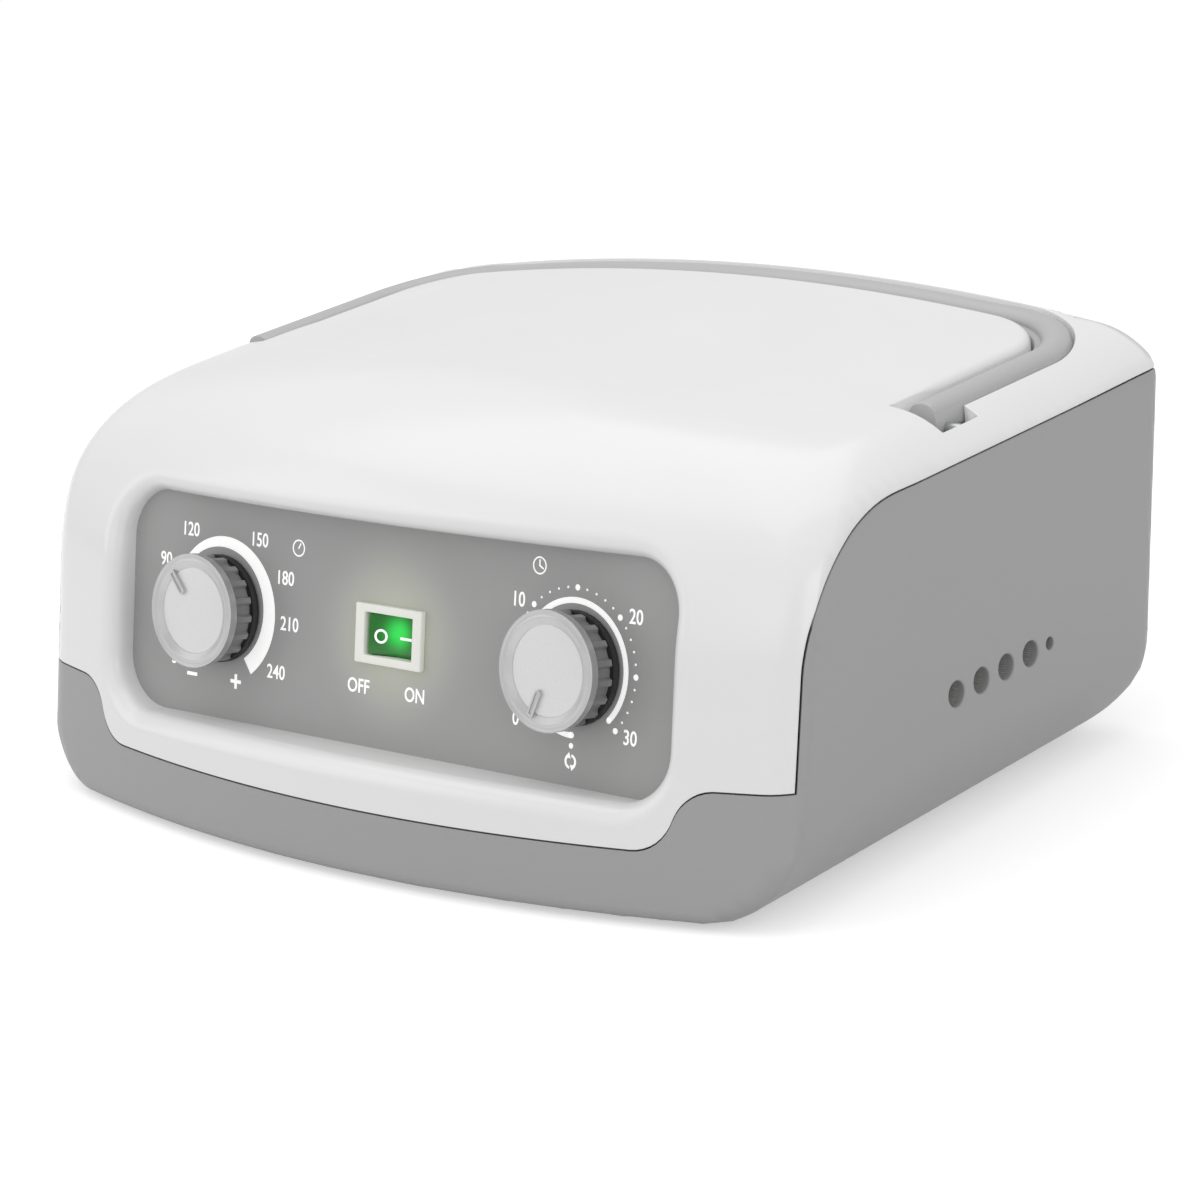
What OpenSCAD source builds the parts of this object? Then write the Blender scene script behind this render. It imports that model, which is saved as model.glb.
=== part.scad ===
// Table-top air compression pump: a two-part casing with a control panel, a
// folding handle, a four-port air distributor and a diaphragm compressor.
// Millimetres. X to the right, Y to the back, Z up. The origin is on the table
// under the middle of the casing.

/* [Body] */
// Overall width of the casing
body_w = 280; // [270:1:300]
// Depth from the foot of the bowed front to the top of the back wall
body_d = 205; // [200:1:220]
// Height of the crown above the table
body_h = 122; // [120:1:130]
// Wall thickness of both casings
wall = 2.5; // [2:0.1:3]
// Radius of the bowed front in plan
front_bow_r = 485; // [440:5:600]
// Lean of the front face, in degrees
front_lean = 13; // [11:0.5:15]
// Lean of the back wall, in degrees
back_lean = 11; // [8:0.5:13]
// Radius of the shoulder between front and top
shoulder_r = 70; // [60:1:74]
// Radius of the crowned top, across the casing
crown_r = 780; // [700:10:1000]
// Radius where the top turns down to the sides
edge_r = 28; // [24:1:32]
// Radius of the lower corners
corner_r = 25; // [20:1:28]
// Radius of the rear top edge
rear_edge_r = 5; // [3:0.5:6]
// Radius of the upright rear corners
rear_corner_r = 8; // [5:0.5:10]

/* [Seam] */
// Depth of the seam along the sides and the back below the crown
seam_drop = 22; // [20:0.5:26]
// Height of the seam along the middle of the front
seam_low_z = 19.5; // [17:0.5:21]
// Height of the seam at the front corners
seam_corner_z = 35.8; // [33:0.5:38]
// Distance of the ends of the front seam's low stretch inside the panel's ends
seam_low_in = 7.5; // [4:0.5:12]
// Radius of the two bends of the front seam
seam_bend_r = 12; // [9:0.5:14]
// Radius of the bend of the side seam
seam_side_r = 46; // [40:1:50]
// Distance of the side seam behind the front face, at the corners
seam_side_in = 2.5; // [2:0.1:4]
// Height of the crown's edge above the seam
seam_under = 0.6; // [0.5:0.1:1]
// Gap between the two casings
seam_gap = 0.4; // [0.2:0.1:0.8]

/* [Control panel] */
// Width of the panel opening
panel_w = 207; // [200:1:212]
// Distance of the panel opening's top edge below the crown
panel_top_in = 32.1; // [31:0.1:34]
// Height of the panel opening's bottom edge
panel_low_z = 28.3; // [27.5:0.1:29.5]
// Corner radius of the panel opening
panel_r = 15; // [10:1:20]
// Thickness of the panel plate
panel_t = 2; // [1.5:0.1:2.5]
// Width of the rim that the panel is screwed to
panel_rim = 5.5; // [5:0.1:7]
// Distance of the panel's middle behind the foot of the front
panel_back = 33.8; // [32:0.2:36]
// Lean of the panel, in degrees
panel_lean = 13.8; // [12:0.1:15]

/* [Knobs] */
// Distance of each knob from the middle
knob_x = 66.7; // [64:0.1:69]
// Radius of the knob's cap
cap_r = 16.2; // [15:0.1:17]
// Thickness of the cap
cap_t = 2.5; // [2:0.1:3]
// Radius of the fluted skirt
skirt_r = 15.4; // [14:0.1:16]
// Height of the skirt
skirt_h = 9.4; // [8:0.1:11]
// Number of flutes on the skirt
flutes = 18; // [12:1:24]
// Gap between the knob and the panel
knob_gap = 0.6; // [0.4:0.1:1]
// Radius of the knob shafts
shaft_r = 3; // [2.5:0.1:3.5]
// Angle of the pressure pointer, anticlockwise from 3 o'clock
pressure_angle = 130.5; // [-45:0.5:225]
// Angle of the timer pointer, anticlockwise from 3 o'clock
timer_angle = 248; // [225:1:270]
// Radius of the mounting bushes of the two controls
bush_r = 4.5; // [4:0.1:5]
// Width across the flats of the bush nuts
bush_nut_af = 12; // [11:0.5:13]

/* [Switch] */
// Width of the switch frame
switch_w = 24.8; // [24:0.1:26]
// Height of the switch frame
switch_h = 16.6; // [16:0.1:18]
// How far the frame stands proud of the panel
switch_proud = 2; // [1.5:0.1:2.5]
// Width of the rocker
rocker_w = 14.8; // [14:0.1:15.4]
// Height of the rocker
rocker_h = 10.6; // [10:0.1:11]
// Tilt of the rocker to either side, in degrees
rocker_tilt = 9; // [6:0.5:10]
// Depth of the switch body behind the panel
switch_depth = 20; // [16:1:24]

/* [Handle] */
// Distance of the handle from the sides of the casing
handle_side_gap = 11.5; // [10.5:0.5:14]
// Width of the handle's bar
handle_bar = 10.5; // [9:0.5:12]
// Thickness of the handle's bar
handle_t = 8.5; // [7:0.5:9]
// Distance of the handle's front ends behind the middle of the casing
handle_front_y = 13.5; // [10:0.5:18]
// Distance of the handle's back from the back of the casing
handle_rear_gap = 3.2; // [3:0.1:5]
// Outer radius of the handle's rear bends
handle_bend_r = 32; // [28:1:38]
// Gap between the handle and its groove
handle_gap = 0.8; // [0.6:0.1:1.2]
// Distance of the handle's pins behind its front ends
handle_pin_y = 4.5; // [4:0.1:5]
// Depth of the handle's pins below the crown
handle_pin_drop = 16.5; // [16:0.1:17]
// Radius of the handle's pins
handle_pin_r = 1.5; // [1.2:0.1:1.8]
// Width of the finger pocket beside the handle's front ends
pocket_w = 5; // [4:0.1:6]
// Reach of the pocket in front of the handle
pocket_front = 4.3; // [4:0.1:5]
// Reach of the pocket behind the handle's front ends
pocket_back = 11.5; // [10:0.5:16]
// Depth of the pocket below the handle's pins
pocket_deep = 9; // [8.5:0.1:10]

/* [Air outlets] */
// Number of hose outlets
outlets = 4; // [3:1:4]
// Distance between hose outlets
outlet_pitch = 11.3; // [11:0.1:12]
// Radius of a hose outlet
outlet_r = 3.5; // [3:0.1:4]
// Radius of the vent hole behind the outlets
vent_r = 1.75; // [1.2:0.05:2.2]
// Distance of the vent hole from the last outlet
vent_pitch = 9; // [8.5:0.1:11]
// Distance of the first outlet behind the middle of the casing
outlet_y = -3.4; // [-6:0.2:0]
// Height of the outlets
outlet_z = 39.8; // [38:0.2:44]
// Depth of the manifold block behind the wall
manifold_t = 9; // [8:0.5:12]
// Radius of the bore of the hose barbs
barb_bore_r = 2; // [1.5:0.1:2.2]
// Radius of the hose barbs
barb_r = 3; // [2.8:0.1:3.4]
// Wall thickness of the air hoses
hose_wall = 1.2; // [1:0.1:1.5]
// Length of the hose barbs
barb_len = 8; // [6:0.5:10]

/* [Distributor] */
// Radius of the distributor's rotor
rotor_r = 7; // [6:0.1:8]
// Width and height of the distributor's body
distributor_w = 24; // [22:0.5:28]
// Length of the distributor's body
distributor_len = 58; // [54:1:62]
// Distance of the distributor's axis from the right side
distributor_in = 56; // [52:1:62]
// Radius of the distributor's gear motor
motor_r = 20; // [18:0.5:22]
// Length of the gear motor
motor_len = 20; // [16:1:24]

/* [Compressor] */
// Length of the compressor's body
pump_len = 92; // [84:1:100]
// Width of the compressor's body
pump_w = 64; // [56:1:68]
// Height of the compressor's body
pump_h = 52; // [46:1:56]
// Position of the compressor's middle, across the casing
pump_x = -30; // [-34:1:-26]
// Distance of the compressor's middle from the back
pump_back = 70.5; // [66.5:1:74.5]
// Radius of the diaphragm chambers
chamber_r = 20; // [18:0.5:22]
// Length of each diaphragm chamber
chamber_len = 14; // [12:1:16]
// Height of the rubber mounts
mount_h = 10; // [8:0.5:12]
// Stroke of the armature to either side
stroke = 1.5; // [1:0.1:2]

/* [Electrics] */
// Length of the circuit board
board_w = 96; // [86:1:104]
// Width of the circuit board
board_d = 42; // [36:1:44]
// Height of the board above the floor of the casing
board_lift = 6; // [5:0.5:8]
// Distance of the power inlet from the left side
inlet_in = 48; // [44:1:56]
// Height of the power inlet and the fuse
inlet_z = 38; // [34:1:44]
// Width of the power inlet's socket
inlet_w = 22; // [20:0.5:24]
// Height of the power inlet's socket
inlet_h = 14; // [12:0.5:16]
// Distance of the fuse from the power inlet
fuse_pitch = 32; // [28:1:36]

/* [Feet and screws] */
// Height that the feet lift the casing
foot_h = 1.5; // [1:0.1:3]
// Radius of the feet
foot_r = 7; // [6:0.5:9]
// Radius of the casing screws
screw_r = 1.5; // [1.2:0.1:1.8]
// Radius of the screw posts
post_r = 4.5; // [4:0.1:5]
// Height of the joint between the lower and upper posts
post_z = 50; // [44:1:56]
// Distance of the screw posts from the sides
post_in = 30; // [29.5:0.5:32]
// Distance of the front screw posts behind the front
post_front_in = 66.5; // [62.5:1:68.5]
// Distance of the rear screw posts from the back
post_rear_in = 40.5; // [38.5:1:44.5]
// Distance of the front feet from the sides
foot_front_in = 48; // [44:1:52]
// Distance of the rear feet from the sides
foot_rear_in = 36; // [34:1:40]

/* [Hidden] */
$fn = 64;

// Running clearance of shafts and pins in their bores, on the radius
running = 0.05;
// Clearance of fixed parts in their cut-outs
snug = 0.2;
// A length that reaches right through any wall
through = 400;

half_w = body_w / 2;
front_y = -body_d / 2;
back_y = body_d / 2;
floor_z = foot_h;
inner_z = floor_z + wall;
seam_z = body_h - seam_drop;
seam_low_half = panel_w / 2 - seam_low_in;

// Panel, and the screws that hold it from behind.
panel_y = front_y + panel_back;
panel_rise = body_h - panel_top_in - panel_low_z;
panel_h = panel_rise / cos(panel_lean);
panel_mid_z = panel_low_z + panel_rise / 2;
panel_screw_r = 1.2;
panel_screw_up = 15;
screw_head_r = 2.2;
screw_head_h = 1.5;

// Knobs, with a recess for the bush nut, and the shafts they sit on.
knob_top = knob_gap + skirt_h;
nut_recess_r = 8;
nut_recess_h = 5;
shaft_top = knob_top - 1.5;
bush_top = 4;
cap_rim = 2.4;
cap_step = 0.6;

// Pressure valve and timer, behind the panel.
valve_r = 14;
valve_depth = 26;
valve_port = 6;
needle_r = 1.8;
timer_w = 42;
timer_h = 38;
timer_depth = 24;

// Switch: the mouth clears the rocker's upper corners as they swing.
switch_hole_w = switch_w - 3;
switch_hole_h = switch_h - 3;
rocker_pin_r = 1;
rocker_mid = -3;
rocker_rise = 3.4;
rocker_corner = [rocker_w / 2, rocker_rise + rocker_w / 2 * tan(rocker_tilt)];
rocker_hole = 0.7 + 2 * norm(rocker_corner)
    * cos(atan2(rocker_corner[1], rocker_corner[0]) - rocker_tilt);
lamp_r = 1.5;
lamp_low = -14;
terminal = [0.8, 4.8, 7];
terminal_pitch = 7;

// Handle, with a pin through each of its front ends.
handle_half = half_w - handle_side_gap;
handle_pin_z = body_h - handle_pin_drop;
pin_y = handle_front_y + handle_pin_y;
pin_len = 18;
pin_x = handle_half - handle_bar - 2.8;
pin_end_gap = 0.2;

// Screw posts, feet and circuit board.
post_x = half_w - post_in;
post_front_y = front_y + post_front_in;
post_rear_y = back_y - post_rear_in;
foot_stem_r = 2;
foot_barb_h = 1.2;
post_head_r = 2.8;
post_head_h = 1.5;
post_bite = 10;
foot_front_y = front_y + 32.5;
foot_rear_y = back_y - 58.5;
foot_front_x = half_w - foot_front_in;
foot_rear_x = half_w - foot_rear_in;
foot_points = [[-foot_front_x, foot_front_y], [foot_front_x, foot_front_y],
    [-foot_rear_x, foot_rear_y], [foot_rear_x, foot_rear_y]];
board_mid_y = front_y + 50.5;
board_t = 1.6;
board_z = inner_z + board_lift;
board_top = board_z + board_t;
board_screw_r = 1.2;
board_post_r = 3.2;
board_margin = 5;
transformer_x = -22;
winding = [26, 22, 9];
laminations = [18, 26, 7];
capacitor_r = 3.5;
capacitor_h = 10;
capacitor_x = 6;
capacitor_pitch = 9;
capacitor_y = board_mid_y + board_d / 2 - 15;
plug = [9, 6, 7];
plug_x = 2;
plug_pitch = 12;
plug_y = board_mid_y - board_d / 2 + board_margin;
board_points = [for (sx = [-1, 1], sy = [-1, 1])
    [sx * (board_w / 2 - board_margin), board_mid_y + sy * (board_d / 2 - board_margin)]];

// Air filter, over the slots in the floor.
filter_w = 38;
filter_d = 28;
filter_h = 5;
filter_x = -half_w + 46;
filter_y = front_y + 94.5;
slot_pitch = 5;
slot_w = 2.4;

// Outlets: sockets in the manifold, with a seal at the bottom of each.
row_len = (outlets - 1) * outlet_pitch;
vent_y = outlet_y + row_len + vent_pitch;
manifold_x = half_w - wall - manifold_t;
seal_r = outlet_r + 0.7;
seal_t = 1.2;
socket_floor = 2;

// Compressor on its mounts, with an armature that swings between two coils.
pump_y = back_y - pump_back;
pump_low = inner_z + mount_h;
pump_mid_z = pump_low + pump_h / 2;
pump_left = pump_x - pump_len / 2;
pump_right = pump_x + pump_len / 2;
mount_points = [for (sx = [-1, 1], sy = [-1, 1])
    [pump_x + sx * (pump_len / 2 - 10), pump_y + sy * (pump_w / 2 - 8)]];
mount_pin_r = 2;
mount_pin_h = 5;
mount_r = 5;
mount_boss_r = 4;
mount_boss_h = 3;
arm_y = 9;
arm_rod_r = 3;
core_half = 24;
diaphragm_t = 2;
chamber_wall = 4;
chamber_depth = 7;
chamber_screw_r = 1.2;
chamber_head_r = 2;
chamber_head_h = 1.5;
chamber_screw_at = chamber_r - 2;
coil_h = 30;
armature_h = 24;
supply_x0 = pump_right + diaphragm_t + chamber_len;
supply_y = pump_y - chamber_r * 0.4;
regulator_start = panel_t + valve_depth;
regulator_len = (pump_y - pump_w / 2 - panel_y) / cos(panel_lean);

// Distributor and its gear motor.
distributor_x = half_w - distributor_in;
distributor_right = distributor_x + distributor_w / 2;
distributor_y = outlet_y + row_len / 2 - distributor_len / 2;
rotor_end_y = distributor_y + distributor_len;
rotor_stub_r = 2.5;
rotor_shaft_r = 3;
motor_y = rotor_end_y + 9;
motor_boss_r = 5;
bracket_t = 1.5;

// Power inlet and fuse, in the back wall.
inlet_x = -half_w + inlet_in;
inlet_depth = 18;
inlet_pin_r = 1.2;
inlet_pin_x = 4.3;
inlet_rim = 2.25;
flange = 2;
fuse_r = 7;
fuse_len = 21;
fuse_cap_r = 4;

// The edge arcs touch the crown arc from inside; the sides cut them at the seam.
crown_mid_z = body_h - crown_r;
edge_rise = seam_z + seam_under;
function edge_mid_z(x) = crown_mid_z + sqrt(pow(crown_r - edge_r, 2) - x * x);
function edge_miss(x) =
    norm([half_w - x, edge_rise - edge_mid_z(x)]) - edge_r;
function edge_find(a, b, n) = n == 0 ? (a + b) / 2
    : edge_miss((a + b) / 2) > 0 ? edge_find((a + b) / 2, b, n - 1)
    : edge_find(a, (a + b) / 2, n - 1);
edge_x = edge_find(half_w - edge_r - 10, half_w - 8, 30);
edge_z = edge_mid_z(edge_x);
edge_touch_x = edge_x * crown_r / (crown_r - edge_r);

function arc(x, y, r, from, to, n) =
    [for (i = [0 : n]) let (a = from + (to - from) * i / n) [x + r * cos(a), y + r * sin(a)]];

module ycyl(r, len, x, z, y) {
    translate([x, y + len, z]) rotate([90, 0, 0]) cylinder(r = r, h = len);
}

module xcyl(r, len, x, y, z) {
    translate([x, y, z]) rotate([0, 90, 0]) cylinder(r = r, h = len);
}

module box(x0, x1, y0, y1, z0, z1) {
    translate([x0, y0, z0]) cube([x1 - x0, y1 - y0, z1 - z0]);
}

module round_rect(w, h, r) {
    square([w - 2 * r, h], center = true);
    square([w, h - 2 * r], center = true);
    for (sx = [-1, 1], sy = [-1, 1])
        translate([sx * (w / 2 - r), sy * (h / 2 - r)]) circle(r);
}

// Children stand on the panel: X right, Y up the slope, Z out of the panel.
module on_panel(x = 0, up = 0) {
    translate([0, panel_y, panel_mid_z]) rotate([90 - panel_lean, 0, 0])
        translate([x, up, 0]) children();
}

// Seen from the front: crowned top, upright sides, round lower corners.
module front_outline(inset) {
    len = body_d + 40;
    y = front_y - 20;
    r_low = corner_r - inset;
    r_edge = edge_r - inset;
    intersection() {
        translate([0, y + len, crown_mid_z]) rotate([90, 0, 0])
            cylinder(r = crown_r - inset, h = len, $fn = 720);
        union() {
            box(-half_w + inset, half_w - inset, y, y + len, floor_z + corner_r, edge_z);
            box(-half_w + corner_r, half_w - corner_r, y, y + len, floor_z + inset,
                floor_z + corner_r + 1);
            box(-edge_touch_x, edge_touch_x, y, y + len, edge_z - 1, body_h);
            for (s = [-1, 1]) {
                ycyl(r_low, len, s * (half_w - corner_r), floor_z + corner_r, y);
                intersection() {
                    ycyl(r_edge, len, s * edge_x, edge_z, y);
                    box(-half_w + inset, half_w - inset, y, y + len, edge_z - 1, body_h);
                }
            }
        }
    }
}

// Seen from above and from the side: the bowed, leaning front and its shoulder.
module front_sweep(inset) {
    mid_y = front_y + front_bow_r;
    top_z = body_h - inset;
    low_z = floor_z;
    shoulder_z = body_h - shoulder_r;
    lean_in = inset / cos(front_lean);
    touch_z = shoulder_z + shoulder_r * sin(front_lean);
    touch_r = front_bow_r - (touch_z - low_z) * tan(front_lean);
    shoulder_at = touch_r - shoulder_r * cos(front_lean);
    translate([0, mid_y, 0]) rotate([0, 0, 180]) rotate_extrude(angle = 360, $fn = 720) {
        polygon([[0, low_z], [front_bow_r - lean_in, low_z],
            [touch_r - inset * cos(front_lean), touch_z - inset * sin(front_lean)],
            [shoulder_at, shoulder_z], [shoulder_at, top_z], [0, top_z]]);
        translate([shoulder_at, shoulder_z]) circle(shoulder_r - inset, $fn = 96);
    }
}

// Seen from the side: the leaning back wall and its round lower corner.
module side_outline(inset) {
    low_y = back_y - (seam_z - floor_z) * tan(back_lean);
    far = front_y - 60;
    r_top = rear_edge_r - inset / 2;
    r_low = corner_r - inset;
    corner = [low_y - corner_r * (1 - sin(back_lean)) / cos(back_lean), floor_z + corner_r];
    points = concat([[far, floor_z + inset]],
        arc(corner[0], corner[1], r_low, -90, -back_lean, 12),
        [[back_y - inset / cos(back_lean), seam_z]],
        arc(back_y - 1 - inset - r_top, body_h - inset - r_top + 1, r_top, 0, 90, 8),
        [[far, body_h + 1 - inset]]);
    rotate([90, 0, 90]) translate([0, 0, -half_w - 10]) linear_extrude(body_w + 20)
        polygon(points);
}

// Seen along the back wall's slope: the upright rear corners.
module rear_outline(inset) {
    r = rear_corner_r - inset;
    len = body_d + 120;
    translate([0, back_y, seam_z]) rotate([-back_lean, 0, 0])
        translate([0, 0, -through / 2]) linear_extrude(through) {
            translate([-half_w + inset, -len]) square([body_w - 2 * inset, len - rear_corner_r]);
            translate([-half_w + rear_corner_r, -len])
                square([body_w - 2 * rear_corner_r, len - inset]);
            for (s = [-1, 1]) translate([s * (half_w - rear_corner_r), -rear_corner_r])
                circle(r);
        }
}

module body(inset) {
    intersection() {
        front_outline(inset);
        front_sweep(inset);
        side_outline(inset);
        rear_outline(inset);
    }
}

// The space of the lower casing: all behind the side seam, and the foot of the front.
module lower_region(gap) {
    corner_y = front_y + body_curve(half_w) + (seam_corner_z - floor_z) * tan(front_lean)
        + seam_side_in;
    lean = tan(panel_lean);
    level = seam_z + gap;
    r = seam_side_r;
    bend_y = corner_y + (level - seam_corner_z) * lean - gap;
    bend_mid = bend_y + r * tan((90 - panel_lean) / 2);
    side = concat([[corner_y - seam_corner_z * lean - gap, -5],
        [bend_mid - r * cos(panel_lean), level - r + r * sin(panel_lean)]],
        arc(bend_mid, level - r, r, 180 - panel_lean, 90, 16),
        [[back_y + 30, level], [back_y + 30, -5]]);
    rise = seam_corner_z - seam_low_z;
    turn = acos(1 - rise / (2 * seam_bend_r));
    run = 2 * seam_bend_r * sin(turn);
    right = concat(arc(seam_low_half, seam_low_z + seam_bend_r, seam_bend_r, -90, turn - 90, 8),
        arc(seam_low_half + run, seam_corner_z - seam_bend_r, seam_bend_r,
            turn + 90, 90, 8));
    left = [for (i = [len(right) - 1 : -1 : 0]) [-right[i][0], right[i][1]]];
    front = concat([[-half_w - 10, -5], [half_w + 10, -5], [half_w + 10, seam_corner_z]],
        [for (i = [len(right) - 1 : -1 : 0]) right[i]],
        [for (i = [len(left) - 1 : -1 : 0]) left[i]],
        [[-half_w - 10, seam_corner_z]]);
    rotate([90, 0, 90]) translate([0, 0, -half_w - 10]) linear_extrude(body_w + 20)
        polygon(side);
    translate([0, back_y + 20, gap]) rotate([90, 0, 0]) linear_extrude(body_d + 60)
        polygon(front);
}

function body_curve(x) = front_bow_r - sqrt(front_bow_r * front_bow_r - x * x);

// Plan of the U-shaped handle, grown by a margin; open to the front.
module handle_plan(grow, front) {
    out_half = handle_half + grow;
    in_half = handle_half - handle_bar - grow;
    rear = back_y - handle_rear_gap + grow;
    in_rear = rear - handle_bar - 2 * grow;
    bend_y = back_y - handle_rear_gap - handle_bend_r;
    bend_x = handle_half - handle_bend_r;
    out_r = handle_bend_r + grow;
    in_r = handle_bend_r - handle_bar - grow;
    difference() {
        union() {
            translate([-out_half, front]) square([2 * out_half, bend_y - front]);
            translate([-bend_x, front]) square([2 * bend_x, rear - front]);
            for (s = [-1, 1]) translate([s * bend_x, bend_y]) circle(out_r);
        }
        translate([-in_half, front - 1]) square([2 * in_half, bend_y - front + 1]);
        translate([-bend_x, front - 1]) square([2 * bend_x, in_rear - front + 1]);
        for (s = [-1, 1]) translate([s * bend_x, bend_y]) circle(in_r);
    }
}

module handle_band(grow, front) {
    translate([0, 0, 60]) linear_extrude(body_h - 50) handle_plan(grow, front);
}

// The finger pocket beside each front end of the handle.
module handle_pocket(grow) {
    x0 = handle_half - handle_bar - handle_gap - grow;
    x1 = handle_half + pocket_w + grow;
    for (s = [-1, 1])
        box(s > 0 ? x0 : -x1, s > 0 ? x1 : -x0, handle_front_y - pocket_front - grow,
            handle_front_y + pocket_back + grow, handle_pin_z - pocket_deep - grow, body_h);
}

module posts(r, z0, z1) {
    for (s = [-1, 1], y = [post_front_y, post_rear_y])
        translate([s * post_x, y, z0]) cylinder(r = r, h = z1 - z0);
}

module upper_casing() {
    color("#e8e8e8") difference() {
        union() {
            difference() {
                body(0);
                body(wall);
            }
            intersection() {
                body(0);
                union() {
                    on_panel() linear_extrude(60)
                        round_rect(panel_w + 2 * panel_rim, panel_h + 2 * panel_rim,
                            panel_r + panel_rim);
                    difference() {
                        handle_band(handle_gap + wall, handle_front_y - 3);
                        front_outline(handle_t + 2 + wall);
                    }
                    handle_pocket(2);
                    posts(post_r, post_z + seam_gap, body_h);
                }
            }
        }
        lower_region(seam_gap);
        on_panel() translate([0, 0, -1]) linear_extrude(80)
            round_rect(panel_w, panel_h, panel_r);
        difference() {
            handle_band(handle_gap, handle_front_y - 1);
            front_outline(handle_t + 2);
        }
        handle_pocket(0);
        for (s = [-1, 1]) xcyl(handle_pin_r, pin_len + 1,
            s > 0 ? pin_x - pin_end_gap : -pin_x - pin_len - 1 + pin_end_gap, pin_y, handle_pin_z);
        posts(screw_r, post_z - 5, post_z + post_bite + 2);
        panel_screw_places() cylinder(r = panel_screw_r, h = 9, center = true);
    }
}

module panel_screw_places() {
    for (s = [-1, 1], t = [-1, 1])
        on_panel(s * (panel_w + panel_rim) / 2, t * panel_screw_up) children();
}

module lower_casing() {
    color("#9a9a9a") difference() {
        union() {
            intersection() {
                difference() {
                    body(0);
                    body(wall);
                }
                lower_region(0);
            }
            posts(post_r, inner_z - 0.5, post_z);
            for (p = board_points) translate([p[0], p[1], inner_z - 0.5])
                cylinder(r = board_post_r, h = board_lift + 0.5);
            for (p = mount_points) translate([p[0], p[1], inner_z - 0.5])
                cylinder(r = mount_boss_r, h = mount_boss_h + 0.5);
        }
        outlet_places() xcyl(outlet_r, 12, 0, 0, 0);
        translate([half_w - 8, vent_y, outlet_z]) xcyl(vent_r, 12, 0, 0, 0);
        on_back(inlet_x) cube([inlet_w + 2 * snug, inlet_h + 2 * snug, 20], center = true);
        on_back(inlet_x + fuse_pitch) cylinder(r = fuse_r + snug, h = 20, center = true);
        for (i = [-3 : 3]) box(filter_x + i * slot_pitch - slot_w / 2,
            filter_x + i * slot_pitch + slot_w / 2, filter_y - filter_d / 2 + 2,
            filter_y + filter_d / 2 - 2, 0, inner_z + 1);
        posts(screw_r + 0.3, 0, post_z + 1);
        posts(post_head_r + snug, 0, floor_z + 0.1 + post_head_h);
        for (p = foot_points) translate([p[0], p[1], 0])
            cylinder(r = foot_stem_r, h = inner_z + 1);
        for (p = board_points) translate([p[0], p[1], inner_z + 1])
            cylinder(r = board_screw_r, h = board_lift);
    }
}

module outlet_places() {
    for (i = [0 : outlets - 1])
        translate([half_w - 8, outlet_y + i * outlet_pitch, outlet_z]) children();
}

// Children stand on the back wall: X across, Y up the wall, Z out of it.
module on_back(x) {
    y = back_y - (seam_z - inlet_z) * tan(back_lean);
    translate([x, y, inlet_z]) rotate([90 - back_lean, 0, 0]) mirror([0, 0, 1]) children();
}

module control_panel() {
    w = panel_w + 2 * panel_rim - 1;
    h = panel_h + 2 * panel_rim - 1;
    color("#8a8a8a") difference() {
        on_panel() translate([0, 0, -panel_t]) linear_extrude(panel_t)
            round_rect(w, h, panel_r + panel_rim - 0.5);
        for (s = [-1, 1]) on_panel(s * knob_x) cylinder(r = bush_r + 0.1, h = 10, center = true);
        on_panel() cube([switch_hole_w + 2 * snug, switch_hole_h + 2 * snug, 10], center = true);
        panel_screw_places() cylinder(r = panel_screw_r + 0.2, h = 9, center = true);
    }
}

module panel_screws() {
    color("silver") panel_screw_places() {
        translate([0, 0, -panel_t - screw_head_h]) cylinder(r = screw_head_r, h = screw_head_h);
        translate([0, 0, -panel_t - 0.5]) cylinder(r = panel_screw_r, h = panel_t + 4);
    }
}

module knob(angle) {
    difference() {
        translate([0, 0, knob_gap]) cylinder(r = skirt_r, h = skirt_h);
        for (i = [0 : flutes - 1]) rotate([0, 0, angle + 360 * (i + 0.5) / flutes])
            translate([skirt_r + 1.2, 0, knob_gap - 1]) cylinder(r = 2, h = skirt_h + 2, $fn = 24);
        translate([0, 0, -1]) cylinder(r = nut_recess_r, h = nut_recess_h + 1);
        translate([0, 0, nut_recess_h - 1]) cylinder(r = shaft_r, h = shaft_top - nut_recess_h + 1);
    }
}

module knob_cap(angle) {
    difference() {
        translate([0, 0, knob_top]) cylinder(r = cap_r, h = cap_t);
        translate([0, 0, knob_top + cap_t - cap_step]) cylinder(r = cap_r - cap_rim, h = 2);
    }
    rotate([0, 0, angle]) translate([cap_r * 0.42, -0.7, knob_top + cap_t - 1])
        cube([cap_r * 0.38, 1.4, 1]);
}

module pressure_knob() {
    color("#5c5c5c") on_panel(-knob_x) knob(pressure_angle);
}

module pressure_knob_cap() {
    color("#c8c8c8") on_panel(-knob_x) knob_cap(pressure_angle);
}

module timer_knob() {
    color("#5c5c5c") on_panel(knob_x) knob(timer_angle);
}

module timer_knob_cap() {
    color("#c8c8c8") on_panel(knob_x) knob_cap(timer_angle);
}

module bush_nut() {
    difference() {
        cylinder(r = bush_nut_af / 2 / cos(30), h = 2.2, $fn = 6);
        translate([0, 0, -1]) cylinder(r = bush_r, h = 5);
    }
}

module pressure_bush_nut() {
    color("silver") on_panel(-knob_x) bush_nut();
}

module timer_bush_nut() {
    color("silver") on_panel(knob_x) bush_nut();
}

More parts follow.
